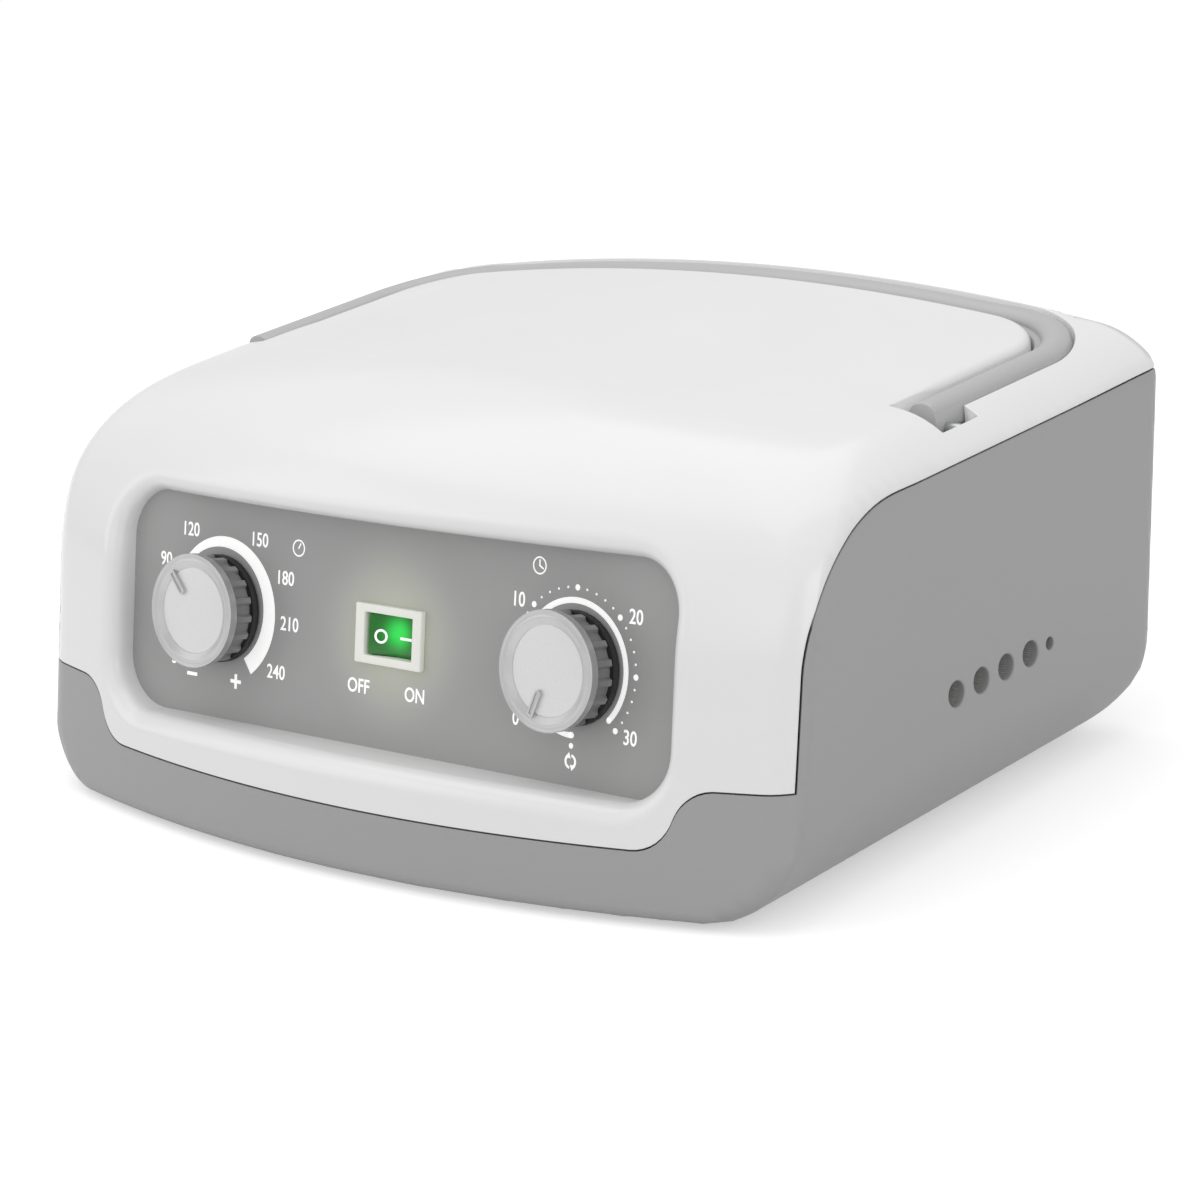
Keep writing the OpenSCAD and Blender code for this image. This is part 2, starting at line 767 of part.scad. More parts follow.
// Pressure regulator: a bleed valve whose screw shaft lifts a needle.
module pressure_valve_body() {
    color("#c9b26a") on_panel(-knob_x) difference() {
        union() {
            translate([0, 0, -panel_t - valve_depth]) cylinder(r = valve_r, h = valve_depth);
            translate([0, 0, -panel_t - 1]) cylinder(r = bush_r, h = panel_t + 1 + bush_top);
            translate([0, 0, -panel_t - valve_depth - barb_len])
                cylinder(r = barb_r, h = barb_len + 1);
            translate([0, 0, -panel_t - valve_depth + valve_port]) rotate([0, 90, 0])
                cylinder(r = barb_r, h = valve_r + valve_port);
        }
        translate([0, 0, -panel_t - 12]) cylinder(r = shaft_r + running, h = 40);
        translate([0, 0, -panel_t - valve_depth + 4]) cylinder(r = needle_r + running, h = 30);
        translate([0, 0, -panel_t - valve_depth - barb_len - 1])
            cylinder(r = needle_r - 0.6, h = barb_len + 10);
        translate([0, 0, -panel_t - valve_depth + valve_port]) rotate([0, 90, 0])
            cylinder(r = needle_r - 0.6, h = 30);
    }
}

module pressure_valve_shaft() {
    color("#b8b8b8") on_panel(-knob_x)
        translate([0, 0, -panel_t - 10]) cylinder(r = shaft_r, h = panel_t + 10 + shaft_top);
}

module pressure_needle() {
    color("#d0d0d0") on_panel(-knob_x) {
        translate([0, 0, -panel_t - valve_depth + valve_port]) cylinder(r = needle_r, h = 9);
        translate([0, 0, -panel_t - valve_depth + 5])
            cylinder(r1 = needle_r - 1, r2 = needle_r, h = 1);
    }
}

module timer_body() {
    color("#3f4a58") on_panel(knob_x) difference() {
        union() {
            translate([-timer_w / 2, -timer_h / 2, -panel_t - timer_depth])
                cube([timer_w, timer_h, timer_depth]);
            translate([0, 0, -panel_t - 1]) cylinder(r = bush_r, h = panel_t + 1 + bush_top);
            for (s = [-1, 0, 1]) translate([s * 9 - 3, -0.4, -panel_t - timer_depth - 8])
                cube([6, 0.8, 9]);
        }
        translate([0, 0, -panel_t - 14]) cylinder(r = shaft_r + running, h = 40);
    }
}

module timer_shaft() {
    color("#b8b8b8") on_panel(knob_x)
        translate([0, 0, -panel_t - 12]) cylinder(r = shaft_r, h = panel_t + 12 + shaft_top);
}

module switch_body() {
    color("#eeeeea") on_panel() difference() {
        union() {
            linear_extrude(switch_proud) round_rect(switch_w, switch_h, 1.5);
            translate([-switch_hole_w / 2, -switch_hole_h / 2, -switch_depth])
                cube([switch_hole_w, switch_hole_h, switch_depth + 0.5]);
        }
        translate([-rocker_hole / 2, -rocker_h / 2 - 0.3, rocker_mid - rocker_w / 2 - 0.6])
            cube([rocker_hole, rocker_h + 0.6, 20]);
        translate([0, 0, rocker_mid]) rotate([90, 0, 0])
            cylinder(r = rocker_pin_r + running, h = rocker_h + 2.4, center = true);
        translate([0, 0, lamp_low]) cylinder(r = lamp_r, h = 8);
    }
}

// The rocker is hollowed on top, and stands with its right side pressed.
module switch_rocker() {
    half = rocker_w / 2;
    top = concat([[-half, rocker_rise + half * tan(rocker_tilt)], [0, rocker_rise],
        [half, rocker_rise + half * tan(rocker_tilt)]], arc(0, 0, half, -15, -165, 12));
    color("#18a838") on_panel() translate([0, 0, rocker_mid]) rotate([0, rocker_tilt, 0])
        difference() {
            union() {
                translate([0, rocker_h / 2, 0]) rotate([90, 0, 0]) linear_extrude(rocker_h)
                    polygon(top);
                rotate([90, 0, 0]) cylinder(r = rocker_pin_r, h = rocker_h + 2, center = true);
            }
            translate([0, 0, -rocker_w]) cylinder(r = lamp_r + 1.5, h = rocker_w - 2);
        }
}

module switch_lamp() {
    color("#7dff9a") on_panel() {
        translate([0, 0, lamp_low]) cylinder(r = lamp_r, h = 7.5);
    }
}

module switch_terminals() {
    color("#c9a24a") on_panel()
        for (i = [-1 : 1])
            translate([i * terminal_pitch, 0, -switch_depth - terminal[2] / 2])
                cube(terminal, center = true);
}

module carry_handle() {
    color("#ababab") difference() {
        union() {
            intersection() {
                handle_band(0, handle_front_y);
                difference() {
                    front_outline(0.3);
                    front_outline(0.3 + handle_t);
                }
            }
            for (s = [-1, 1]) xcyl(3.8, handle_bar, s > 0 ? handle_half - handle_bar : -handle_half,
                pin_y, handle_pin_z);
        }
        for (s = [-1, 1]) xcyl(handle_pin_r + running, pin_len, s > 0 ? pin_x : -pin_x - pin_len,
            pin_y, handle_pin_z);
    }
}

module handle_pins() {
    color("silver") for (s = [-1, 1])
        xcyl(handle_pin_r, pin_len, s > 0 ? pin_x : -pin_x - pin_len, pin_y, handle_pin_z);
}

// Four sockets in line behind the wall, with barbs towards the distributor.
module outlet_manifold() {
    color("#d8d8d8") difference() {
        union() {
            box(manifold_x, half_w - wall, outlet_y - 8, outlet_y + row_len + 5.5,
                outlet_z - 8, outlet_z + 8);
            outlet_places() xcyl(barb_r, barb_len + 1, 8 - wall - manifold_t - barb_len, 0, 0);
        }
        outlet_places() {
            xcyl(outlet_r, manifold_t, 8 - wall - manifold_t + socket_floor, 0, 0);
            xcyl(seal_r, seal_t, 8 - wall - manifold_t + socket_floor, 0, 0);
            xcyl(barb_bore_r, 40, -32, 0, 0);
        }
    }
}

module outlet_seals() {
    color("#333333") outlet_places() difference() {
        xcyl(seal_r, seal_t, 8 - wall - manifold_t + socket_floor, 0, 0);
        xcyl(barb_bore_r, 5, 8 - wall - manifold_t, 0, 0);
    }
}

module hose(len) {
    difference() {
        cylinder(r = barb_r + hose_wall, h = len);
        translate([0, 0, -1]) cylinder(r = barb_r, h = len + 2);
    }
}

// Each hose is pushed over the barb of the distributor and that of the manifold.
module outlet_hoses() {
    color("#e6e2d6") for (i = [0 : outlets - 1])
        translate([distributor_right + 0.5, outlet_y + i * outlet_pitch, outlet_z])
            rotate([0, 90, 0]) hose(manifold_x - distributor_right - 1);
}

module distributor_body() {
    h = distributor_w / 2;
    color("#cfcfcf") difference() {
        union() {
            box(distributor_x - h, distributor_x + h, distributor_y, distributor_y + distributor_len,
                outlet_z - h, outlet_z + h);
            box(distributor_x - h, distributor_x + h, distributor_y, distributor_y + distributor_len,
                inner_z, outlet_z - h + 1);
            for (i = [0 : outlets - 1])
                xcyl(barb_r, barb_len + 1, distributor_right - 1, outlet_y + i * outlet_pitch,
                    outlet_z);
            xcyl(barb_r, barb_len + 1, distributor_x - h - barb_len, supply_y, outlet_z);
        }
        ycyl(rotor_r + running, distributor_len + 2, distributor_x, outlet_z, distributor_y + 3);
        ycyl(rotor_stub_r + running, 10, distributor_x, outlet_z, distributor_y - 1);
        for (i = [0 : outlets - 1])
            xcyl(barb_bore_r, 40, distributor_x, outlet_y + i * outlet_pitch, outlet_z);
        xcyl(barb_bore_r, 40, distributor_x - 40, supply_y, outlet_z);
        for (y = [0.2, 0.8]) box(distributor_x - h + 3, distributor_x + h - 3,
            distributor_y + y * distributor_len - 5, distributor_y + y * distributor_len + 5,
            inner_z - 1, outlet_z - h - 3);
    }
}

// The rotor is hollow, and its ports open one outlet after another.
module distributor_rotor() {
    y0 = distributor_y + 3.3;
    len = distributor_len - 3.6;
    color("#e9e4d0") difference() {
        union() {
            ycyl(rotor_r, len, distributor_x, outlet_z, y0);
            ycyl(rotor_stub_r, 3.3, distributor_x, outlet_z, distributor_y);
            ycyl(rotor_shaft_r, 8, distributor_x, outlet_z, y0 + len - 0.5);
        }
        ycyl(rotor_r - 2.5, len - 8, distributor_x, outlet_z, y0 + 4);
        for (i = [0 : outlets - 1])
            translate([distributor_x, outlet_y + i * outlet_pitch, outlet_z])
                rotate([0, 360 * i / outlets, 0]) xcyl(barb_bore_r, rotor_r + 1, 0, 0, 0);
        for (a = [90, 270]) translate([distributor_x, supply_y, outlet_z])
            rotate([0, a, 0]) xcyl(barb_bore_r, rotor_r + 1, 0, 0, 0);
    }
}

module distributor_end_cap() {
    h = distributor_w / 2;
    color("#bcbcbc") difference() {
        box(distributor_x - h, distributor_x + h, rotor_end_y, rotor_end_y + 2.5,
            outlet_z - h, outlet_z + h);
        ycyl(rotor_shaft_r + running, 6, distributor_x, outlet_z, rotor_end_y - 1);
    }
}

module distributor_motor() {
    color("#b9bcc0") difference() {
        union() {
            ycyl(motor_r, motor_len, distributor_x, outlet_z, motor_y + bracket_t);
            ycyl(motor_boss_r, 2, distributor_x, outlet_z, motor_y - 0.4);
        }
        ycyl(rotor_shaft_r + running, 6, distributor_x, outlet_z, motor_y - 1);
    }
}

module motor_bracket() {
    color("#a8a8a8") difference() {
        union() {
            box(distributor_x - 16, distributor_x + 16, motor_y, motor_y + bracket_t, inner_z,
                outlet_z + 16);
            box(distributor_x - 16, distributor_x + 16, motor_y - 6, motor_y + 1, inner_z,
                inner_z + bracket_t);
        }
        ycyl(motor_boss_r + 0.1, 6, distributor_x, outlet_z, motor_y - 2);
    }
}

// Die-cast body, open in the middle where the armature swings.
module pump_body() {
    hw = pump_w / 2;
    color("#9aa0a6") difference() {
        union() {
            box(pump_left, pump_right, pump_y - hw, pump_y + hw, pump_low, pump_low + pump_h);
            on_panel(-knob_x) translate([0, 0, -regulator_len - 2])
                cylinder(r = barb_r, h = barb_len + 2);
        }
        on_panel(-knob_x) translate([0, 0, -regulator_len - 12])
            cylinder(r = barb_bore_r, h = barb_len + 20);
        box(pump_left + 5, pump_right - 5, pump_y - hw + 4, pump_y + hw - 4, pump_low + 4,
            pump_low + pump_h + 1);
        xcyl(arm_rod_r + 1, pump_len + 4, pump_left - 2, pump_y, pump_mid_z);
        for (p = mount_points) translate([p[0], p[1], pump_low - 1])
            cylinder(r = mount_pin_r, h = mount_pin_h + 1);
    }
}

// Two coils on E-shaped cores, one on each side of the armature.
module pump_coil() {
    inner = pump_w / 2 - 4;
    color("#b06a2c") for (s = [-1, 1])
        translate([pump_x, pump_y + s * (inner + arm_y + 1) / 2, pump_mid_z])
            cube([2 * core_half, inner - arm_y - 1, coil_h], center = true);
}

module pump_armature() {
    reach = diaphragm_t + 2 * stroke;
    color("#6c7076") {
        translate([pump_x, pump_y, pump_mid_z])
            cube([2 * core_half, 2 * arm_y - 2, armature_h], center = true);
        xcyl(arm_rod_r, pump_len + 2 * reach, pump_left - reach, pump_y, pump_mid_z);
    }
}

module pump_diaphragms() {
    color("#2c2c2c") for (s = [-1, 1])
        translate([s > 0 ? pump_right : pump_left - diaphragm_t, pump_y, pump_mid_z])
            difference() {
                xcyl(chamber_r, diaphragm_t, 0, 0, 0);
                xcyl(arm_rod_r + 0.3, diaphragm_t + 2, -1, 0, 0);
            }
}

module pump_chambers() {
    color("#d2d2d2") for (s = [-1, 1])
        translate([s > 0 ? pump_right + diaphragm_t : pump_left - diaphragm_t - chamber_len,
            pump_y, pump_mid_z])
            difference() {
                union() {
                    xcyl(chamber_r, chamber_len, 0, 0, 0);
                    if (s > 0)
                        translate([0, supply_y - pump_y, outlet_z - pump_mid_z])
                            xcyl(barb_r, barb_len + 1, chamber_len - 1, 0, 0);
                }
                xcyl(chamber_r - chamber_wall, chamber_depth + 1,
                    s > 0 ? -1 : chamber_len - chamber_depth, 0, 0);
                if (s > 0)
                    translate([0, supply_y - pump_y, outlet_z - pump_mid_z])
                        xcyl(barb_bore_r, chamber_len + barb_len + 2, 3, 0, 0);
                for (a = [45 : 90 : 315]) rotate([a, 0, 0])
                    xcyl(chamber_screw_r, chamber_len + 2, -1, 0, chamber_screw_at);
            }
}

module pump_chamber_screws() {
    color("silver") for (s = [-1, 1]) for (a = [45 : 90 : 315])
        translate([s > 0 ? pump_right + diaphragm_t : pump_left - diaphragm_t, pump_y, pump_mid_z])
            rotate([a, 0, 0]) {
                xcyl(chamber_screw_r, chamber_len, s > 0 ? 0 : -chamber_len, 0, chamber_screw_at);
                xcyl(chamber_head_r, chamber_head_h,
                    s > 0 ? chamber_len : -chamber_len - chamber_head_h, 0, chamber_screw_at);
            }
}

module pump_mounts() {
    rubber_h = mount_h - mount_boss_h;
    color("#2e2e2e") for (p = mount_points) translate([p[0], p[1], inner_z + mount_boss_h]) {
        cylinder(r = mount_r, h = rubber_h);
        translate([0, 0, rubber_h - 1]) cylinder(r = mount_pin_r, h = mount_pin_h);
    }
}

module supply_hose() {
    color("#e6e2d6") translate([supply_x0 + 0.3, supply_y, outlet_z]) rotate([0, 90, 0])
        hose(distributor_x - distributor_w / 2 - supply_x0 - 0.6);
}

module regulator_hose() {
    color("#e6e2d6") on_panel(-knob_x)
        translate([0, 0, -regulator_len + 1.5]) hose(regulator_len - regulator_start - 2);
}

module circuit_board() {
    color("#2f6b3c") difference() {
        translate([0, board_mid_y, board_z + board_t / 2])
            cube([board_w, board_d, board_t], center = true);
        for (p = board_points) translate([p[0], p[1], board_z - 1])
            cylinder(r = board_screw_r + 0.2, h = 4);
    }
}

module board_screws() {
    color("silver") for (p = board_points) {
        translate([p[0], p[1], board_top]) cylinder(r = screw_head_r, h = screw_head_h);
        translate([p[0], p[1], board_z - 4]) cylinder(r = board_screw_r, h = 6);
    }
}

module board_transformer() {
    color("#4a4a50") translate([transformer_x, board_mid_y, board_top]) {
        translate([0, 0, winding[2] / 2]) cube(winding, center = true);
        translate([0, 0, winding[2] / 2]) cube(laminations, center = true);
    }
}

module board_capacitors() {
    color("#2b3b70") for (i = [0 : 2])
        translate([capacitor_x + i * capacitor_pitch, capacitor_y, board_top])
            cylinder(r = capacitor_r, h = capacitor_h - i);
}

module board_connectors() {
    color("#e8e4d8") for (i = [0 : 2])
        translate([plug_x + i * plug_pitch, plug_y, board_top]) cube(plug);
}

// Two-pin appliance inlet, moulded with a flange outside the wall.
module power_inlet() {
    color("#232323") on_back(inlet_x) difference() {
        union() {
            translate([0, 0, -inlet_depth / 2])
                cube([inlet_w, inlet_h, inlet_depth], center = true);
            translate([0, 0, -wall - 1]) cube([inlet_w + 2 * flange, inlet_h + 2 * flange, 2],
                center = true);
        }
        translate([0, 0, 4 - inlet_depth])
            linear_extrude(inlet_depth)
                round_rect(inlet_w - 2 * inlet_rim, inlet_h - 2 * inlet_rim, 4);
        for (s = [-1, 1]) translate([s * inlet_pin_x, 0, -inlet_depth - 1])
            cylinder(r = inlet_pin_r, h = 10);
    }
}

module inlet_pins() {
    color("#c9a24a") on_back(inlet_x) for (s = [-1, 1])
        translate([s * inlet_pin_x, 0, -inlet_depth - 5]) cylinder(r = inlet_pin_r, h = inlet_depth + 1);
}

module fuse_holder() {
    color("#232323") on_back(inlet_x + fuse_pitch) difference() {
        union() {
            translate([0, 0, -fuse_len]) cylinder(r = fuse_r, h = fuse_len);
            translate([0, 0, -wall - 3]) cylinder(r = fuse_r + flange, h = 3);
        }
        translate([0, 0, -fuse_len + 4]) cylinder(r = fuse_cap_r, h = 30);
    }
}

module fuse_cap() {
    color("#303030") on_back(inlet_x + fuse_pitch) difference() {
        translate([0, 0, 4 - fuse_len]) cylinder(r = fuse_cap_r - 0.1, h = fuse_len - 4);
        translate([0, 0, -1]) cube([6, 1, 3], center = true);
    }
}

module air_filter() {
    color("#d9d4c4") box(filter_x - filter_w / 2, filter_x + filter_w / 2,
        filter_y - filter_d / 2, filter_y + filter_d / 2, inner_z, inner_z + filter_h);
}

module rubber_feet() {
    color("#303030") for (p = foot_points) translate([p[0], p[1], 0]) {
        cylinder(r = foot_r, h = foot_h);
        cylinder(r = foot_stem_r, h = inner_z + 1);
        translate([0, 0, inner_z]) cylinder(r = foot_stem_r + 1, h = foot_barb_h);
    }
}

module casing_screws() {
    color("silver") {
        posts(screw_r, floor_z + 0.6, post_z + post_bite);
        posts(post_head_r, floor_z + 0.1, floor_z + 0.1 + post_head_h);
    }
}

upper_casing();
lower_casing();
control_panel();
panel_screws();
pressure_knob();
pressure_knob_cap();
pressure_valve_body();
pressure_valve_shaft();
pressure_needle();
pressure_bush_nut();
timer_knob();
timer_knob_cap();
timer_body();
timer_shaft();
timer_bush_nut();
switch_body();
switch_rocker();
switch_lamp();
switch_terminals();
carry_handle();
handle_pins();
outlet_manifold();
outlet_seals();
outlet_hoses();
distributor_body();
distributor_rotor();
distributor_end_cap();
distributor_motor();
motor_bracket();
pump_body();
pump_coil();
pump_armature();
pump_diaphragms();
pump_chambers();
pump_chamber_screws();
pump_mounts();
supply_hose();
regulator_hose();
circuit_board();
board_transformer();
board_capacitors();
board_connectors();
board_screws();
power_inlet();
inlet_pins();
fuse_holder();
fuse_cap();
air_filter();
rubber_feet();
casing_screws();
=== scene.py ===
import bpy
import mathutils
import numpy as np
from math import acos, atan2, cos, degrees, pi, radians, sin, sqrt, tan
from mathutils import Matrix, Vector


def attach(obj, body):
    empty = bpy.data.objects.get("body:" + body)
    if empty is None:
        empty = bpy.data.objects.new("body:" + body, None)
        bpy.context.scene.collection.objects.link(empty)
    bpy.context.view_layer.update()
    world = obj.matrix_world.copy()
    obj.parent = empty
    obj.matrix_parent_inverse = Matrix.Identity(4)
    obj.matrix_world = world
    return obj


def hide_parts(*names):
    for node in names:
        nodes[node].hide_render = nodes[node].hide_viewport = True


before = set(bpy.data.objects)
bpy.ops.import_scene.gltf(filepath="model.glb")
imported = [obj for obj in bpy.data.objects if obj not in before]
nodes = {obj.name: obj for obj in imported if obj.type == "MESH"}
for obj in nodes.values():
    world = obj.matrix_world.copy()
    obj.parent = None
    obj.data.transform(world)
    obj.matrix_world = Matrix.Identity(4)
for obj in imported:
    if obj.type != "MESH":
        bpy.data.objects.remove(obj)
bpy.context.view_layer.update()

# ----------------------------------------
# Studio: a white sweep of paper under large soft boxes. The paper is matt, and
# shows white to the camera while it keeps the soft shadow of the pump.


def linear(hex_colour):
    """An sRGB hex colour as the linear colour a shader takes."""
    parts = [int(hex_colour[i:i + 2], 16) / 255 for i in (1, 3, 5)]
    return tuple(v / 12.92 if v <= 0.04045 else ((v + 0.055) / 1.055) ** 2.4 for v in parts) + (1,)


def add(tree, kind, settings=None, **inputs):
    """A shader node with its settings, its values, and its links given as (node, output)."""
    made = tree.nodes.new("ShaderNode" + kind)
    for name, value in (settings or {}).items():
        setattr(made, name, value)
    for name, value in inputs.items():
        numbered = name[0] == "i" and name[1:].isdigit()
        socket = made.inputs[int(name[1:]) if numbered else name.replace("_", " ")]
        if isinstance(value, tuple) and hasattr(value[0], "outputs"):
            tree.links.new(value[0].outputs[value[1]], socket)
        else:
            socket.default_value = value
    return made


def new_material(name):
    made = bpy.data.materials.new(name)
    made.use_nodes = True
    made.node_tree.nodes.clear()
    return made, made.node_tree


def surface(name, dark, light, rough, cloud, grain=None, relief=None, by_grain=False, **shine):
    """A surface with a soft cloud that moves its gloss, and its colour unless the grain does,
    and a fine grain in relief. Cloud and grain are noise or wave settings, with scales a metre."""
    made, tree = new_material(name)
    coords = add(tree, "TexCoord")
    patchy = add(tree, "TexNoise", Vector=(coords, "Object"), **cloud)
    gloss = add(tree, "MapRange", Value=(patchy, "Fac"), To_Min=rough[0], To_Max=rough[1])
    spread = patchy
    if grain:
        kind = "TexNoise" if "Detail" in grain else "TexWave"
        settings = None if "Detail" in grain else {"bands_direction": "Z"}
        fine_grain = add(tree, kind, settings, Vector=(coords, "Object"), **grain)
        bump = add(tree, "Bump", Height=(fine_grain, "Fac"), Strength=relief[0], Distance=relief[1])
        shine["Normal"] = (bump, 0)
        spread = fine_grain if by_grain else patchy
    tint = add(tree, "Mix", {"data_type": "RGBA"}, i0=(spread, "Fac"), i6=linear(dark), i7=linear(light))
    shader = add(tree, "BsdfPrincipled", Base_Color=(tint, 2), Roughness=(gloss, 0), **shine)
    add(tree, "OutputMaterial", Surface=(shader, 0))
    return made


paper, tree = new_material("studio_paper")
ray = add(tree, "LightPath")
matt = add(tree, "BsdfDiffuse", Color=linear("#DADADA"))
lift = add(tree, "Emission", Color=(1, 1, 1, 1), Strength=0.46)
seen = add(tree, "Math", {"operation": "MAXIMUM"}, i0=(ray, "Is Camera Ray"), i1=(ray, "Is Glossy Ray"))
plain = add(tree, "Emission", Color=(0, 0, 0, 1))
which = add(tree, "MixShader", i0=(seen, 0), i1=(plain, 0), i2=(lift, 0))
both = add(tree, "AddShader", i0=(matt, 0), i1=(which, 0))
add(tree, "OutputMaterial", Surface=(both, 0))


def deselect():
    bpy.ops.object.select_all(action="DESELECT")


deselect()
bpy.ops.mesh.primitive_plane_add(size=60, location=(0, 0, 0))
floor = bpy.context.object
floor.name = "studio_floor"
floor.data.materials.append(paper)

world = bpy.data.worlds.new("studio_air")
bpy.context.scene.world = world
world.use_nodes = True
tree = world.node_tree
tree.nodes.clear()
ray = add(tree, "LightPath")
seen = add(tree, "Math", {"operation": "MAXIMUM"}, i0=(ray, "Is Camera Ray"), i1=(ray, "Is Transmission Ray"))
air = add(tree, "Background", Color=(1, 1, 1, 1), Strength=0.68)
white = add(tree, "Background", Color=(1, 1, 1, 1), Strength=1.0)
which = add(tree, "MixShader", i0=(seen, 0), i1=(air, 0), i2=(white, 0))
add(tree, "OutputWorld", Surface=(which, 0))


def show(name, data):
    """An object in the scene for a light, a camera or a mesh."""
    made = bpy.data.objects.new(name, data)
    bpy.context.scene.collection.objects.link(made)
    return made


def soft_box(name, place, aim, width, height, watts):
    light = bpy.data.lights.new(name, "AREA")
    light.shape = "RECTANGLE"
    light.size, light.size_y, light.energy = width, height, watts
    made = show(name, light)
    made.location = place
    made.rotation_mode = "QUATERNION"
    made.rotation_quaternion = (Vector(aim) - Vector(place)).to_track_quat("-Z", "Y")


soft_box("overhead_box", (-0.25, 0.15, 1.3), (0, 0, 0.05), 1.6, 1.4, 6.5)
soft_box("left_box", (-1.3, -0.9, 0.8), (0, 0, 0.06), 1.0, 1.2, 3.2)
soft_box("right_box", (1.5, -0.7, 0.75), (0, 0, 0.06), 1.0, 1.0, 5.0)
soft_box("front_box", (0.2, -1.6, 0.7), (0, 0, 0.06), 0.9, 0.7, 1.3)

# ----------------------------------------
# Camera: a long lens at the photograph's angle, shifted as the photograph's
# frame was, because the picture is a crop of a larger one.
azimuth, elevation, roll = radians(45.115), radians(17.088), radians(-7.622)
ahead = Vector((-sin(azimuth) * cos(elevation), cos(azimuth) * cos(elevation),
                -sin(elevation)))
level = Vector((cos(azimuth), sin(azimuth), 0))
upright = level.cross(ahead)
right = level * cos(roll) + upright * sin(roll)
up = upright * cos(roll) - level * sin(roll)
lens = bpy.data.cameras.new("camera")
lens.sensor_width = 36
picture, focal, middle_x, middle_y = 1200, 4014, 411.952, 580.094
lens.lens = focal / picture * lens.sensor_width
lens.shift_x = (picture / 2 - middle_x) / picture
lens.shift_y = (middle_y - picture / 2) / picture
lens.clip_start, lens.clip_end = 0.05, 50
camera = show("camera", lens)
turn = Matrix((right, up, -ahead)).transposed().to_4x4()
camera.matrix_world = Matrix.Translation((0.745175, -0.800476, 0.395363)) @ turn
bpy.context.scene.camera = camera
bpy.context.scene.view_settings.view_transform = "Standard"

# ----------------------------------------
# Casings: two injection-moulded ABS shells that share one rounded outer form,
# white above and grey below, and meet at a seam that sweeps down at the front.


def round_max(a, b, r):
    """The corner of two solids' distances, rounded to the radius r."""
    return np.minimum(-r, np.maximum(a, b)) + np.hypot(np.maximum(a + r, 0), np.maximum(b + r, 0))


def box_distance(a, b):
    """Distance to a rectangle from the distances past its sides."""
    return np.hypot(np.maximum(a, 0), np.maximum(b, 0)) + np.minimum(np.maximum(a, b), 0)


def soft_max(a, b, k):
    """The corner of two solids' distances, faded over the width k."""
    k = np.maximum(k, 1e-6)
    h = np.maximum(k - np.abs(a - b), 0) / k
    return np.maximum(a, b) + h * h * k / 4


# Driving sizes in millimetres: the box, the crowned top, the bowed front with its brow,
# the corners, and the leans of the front, the back below and above the seam, and the panel.
half_w, front_y, back_y, floor_z, body_h, seam_z = 140.0, -102.5, 102.5, 1.5, 122, 100.0
crown_r, edge_r, edge_x, bow_r, brow_r, brow_z, corner_r, upright_r = 780, 28, 116.83, 485, 70, 52, 25, 4
lean_f, lean_b, lean_p = radians(13), radians(11), radians(13.8)
rim_n = (0.99846, 0.05547)
crown_mid = body_h - crown_r
bow_mid_y = front_y + bow_r
touch_z = brow_z + brow_r * sin(lean_f)
touch_r = bow_r - (touch_z - floor_z) * tan(lean_f)
shoulder_r0 = touch_r - brow_r * cos(lean_f)
edge_z = crown_mid + sqrt((crown_r - edge_r) ** 2 - edge_x ** 2)
low_y = back_y - (seam_z - floor_z) * tan(lean_b)
heel = (low_y - corner_r * (1 - sin(lean_b)) / cos(lean_b), floor_z + corner_r)


def form(p):
    """Distance to the pump's rounded outer form, in millimetres; negative inside."""
    x, y, z = np.abs(p[:, 0]), p[:, 1], p[:, 2]
    beyond = x * (edge_z - crown_mid) > edge_x * (z - crown_mid)
    edge = np.where(z > edge_z, np.hypot(x - edge_x, z - edge_z) - edge_r, x - edge_x - edge_r)
    top = np.where(beyond, edge, np.hypot(x, z - crown_mid) - crown_r)
    low = np.where((x > half_w - corner_r) & (z < floor_z + corner_r),
                   np.hypot(x - half_w + corner_r, floor_z + corner_r - z) - corner_r,
                   np.maximum(x - half_w, floor_z - z))
    r = np.hypot(x, y - bow_mid_y)
    turned = np.arctan2(z - brow_z, r - shoulder_r0)
    cone = (r - touch_r) * cos(lean_f) + (z - touch_z) * sin(lean_f)
    bend = np.where(r < shoulder_r0, z - body_h - 0.3 * (shoulder_r0 - r),
                    np.where(turned > lean_f, np.hypot(r - shoulder_r0, z - brow_z) - brow_r, cone))
    wall_low = (y - back_y) * cos(lean_b) - (z - seam_z) * sin(lean_b)
    back = np.maximum(wall_low, (y - back_y) * rim_n[0] + (z - seam_z) * rim_n[1])
    a = np.arctan2(z - heel[1], y - heel[0])
    back = np.where((a < -lean_b) & (a > -pi / 2) & (z < 60),
                    np.hypot(y - heel[0], z - heel[1]) - corner_r, back)
    belt = round_max(low, back, upright_r)
    soft = np.interp(y, [-40, -10, 60, 90], [5, 0.5, 0.5, 2.5])
    brow = soft_max(top, bend, 16 * (x / half_w) ** 2)
    return np.maximum(np.maximum(round_max(belt, bend, upright_r), brow), round_max(belt, top, soft))


def slope(distance, p):
    """Outward normals of a distance field."""
    e = 0.02
    g = np.stack([distance(p + np.eye(3)[i] * e) - distance(p - np.eye(3)[i] * e) for i in range(3)], 1)
    return g / np.maximum(np.linalg.norm(g, axis=1, keepdims=True), 1e-9)


def strike(distance, start, ray, far=90.0):
    """Where rays that start inside come out of a distance field."""
    lo, hi = np.zeros(len(start)), np.full(len(start), far)
    for _ in range(34):
        mid = (lo + hi) / 2
        out = distance(start + ray * mid[:, None]) > 0
        hi, lo = np.where(out, mid, hi), np.where(out, lo, mid)
    return start + ray * ((lo + hi) / 2)[:, None]


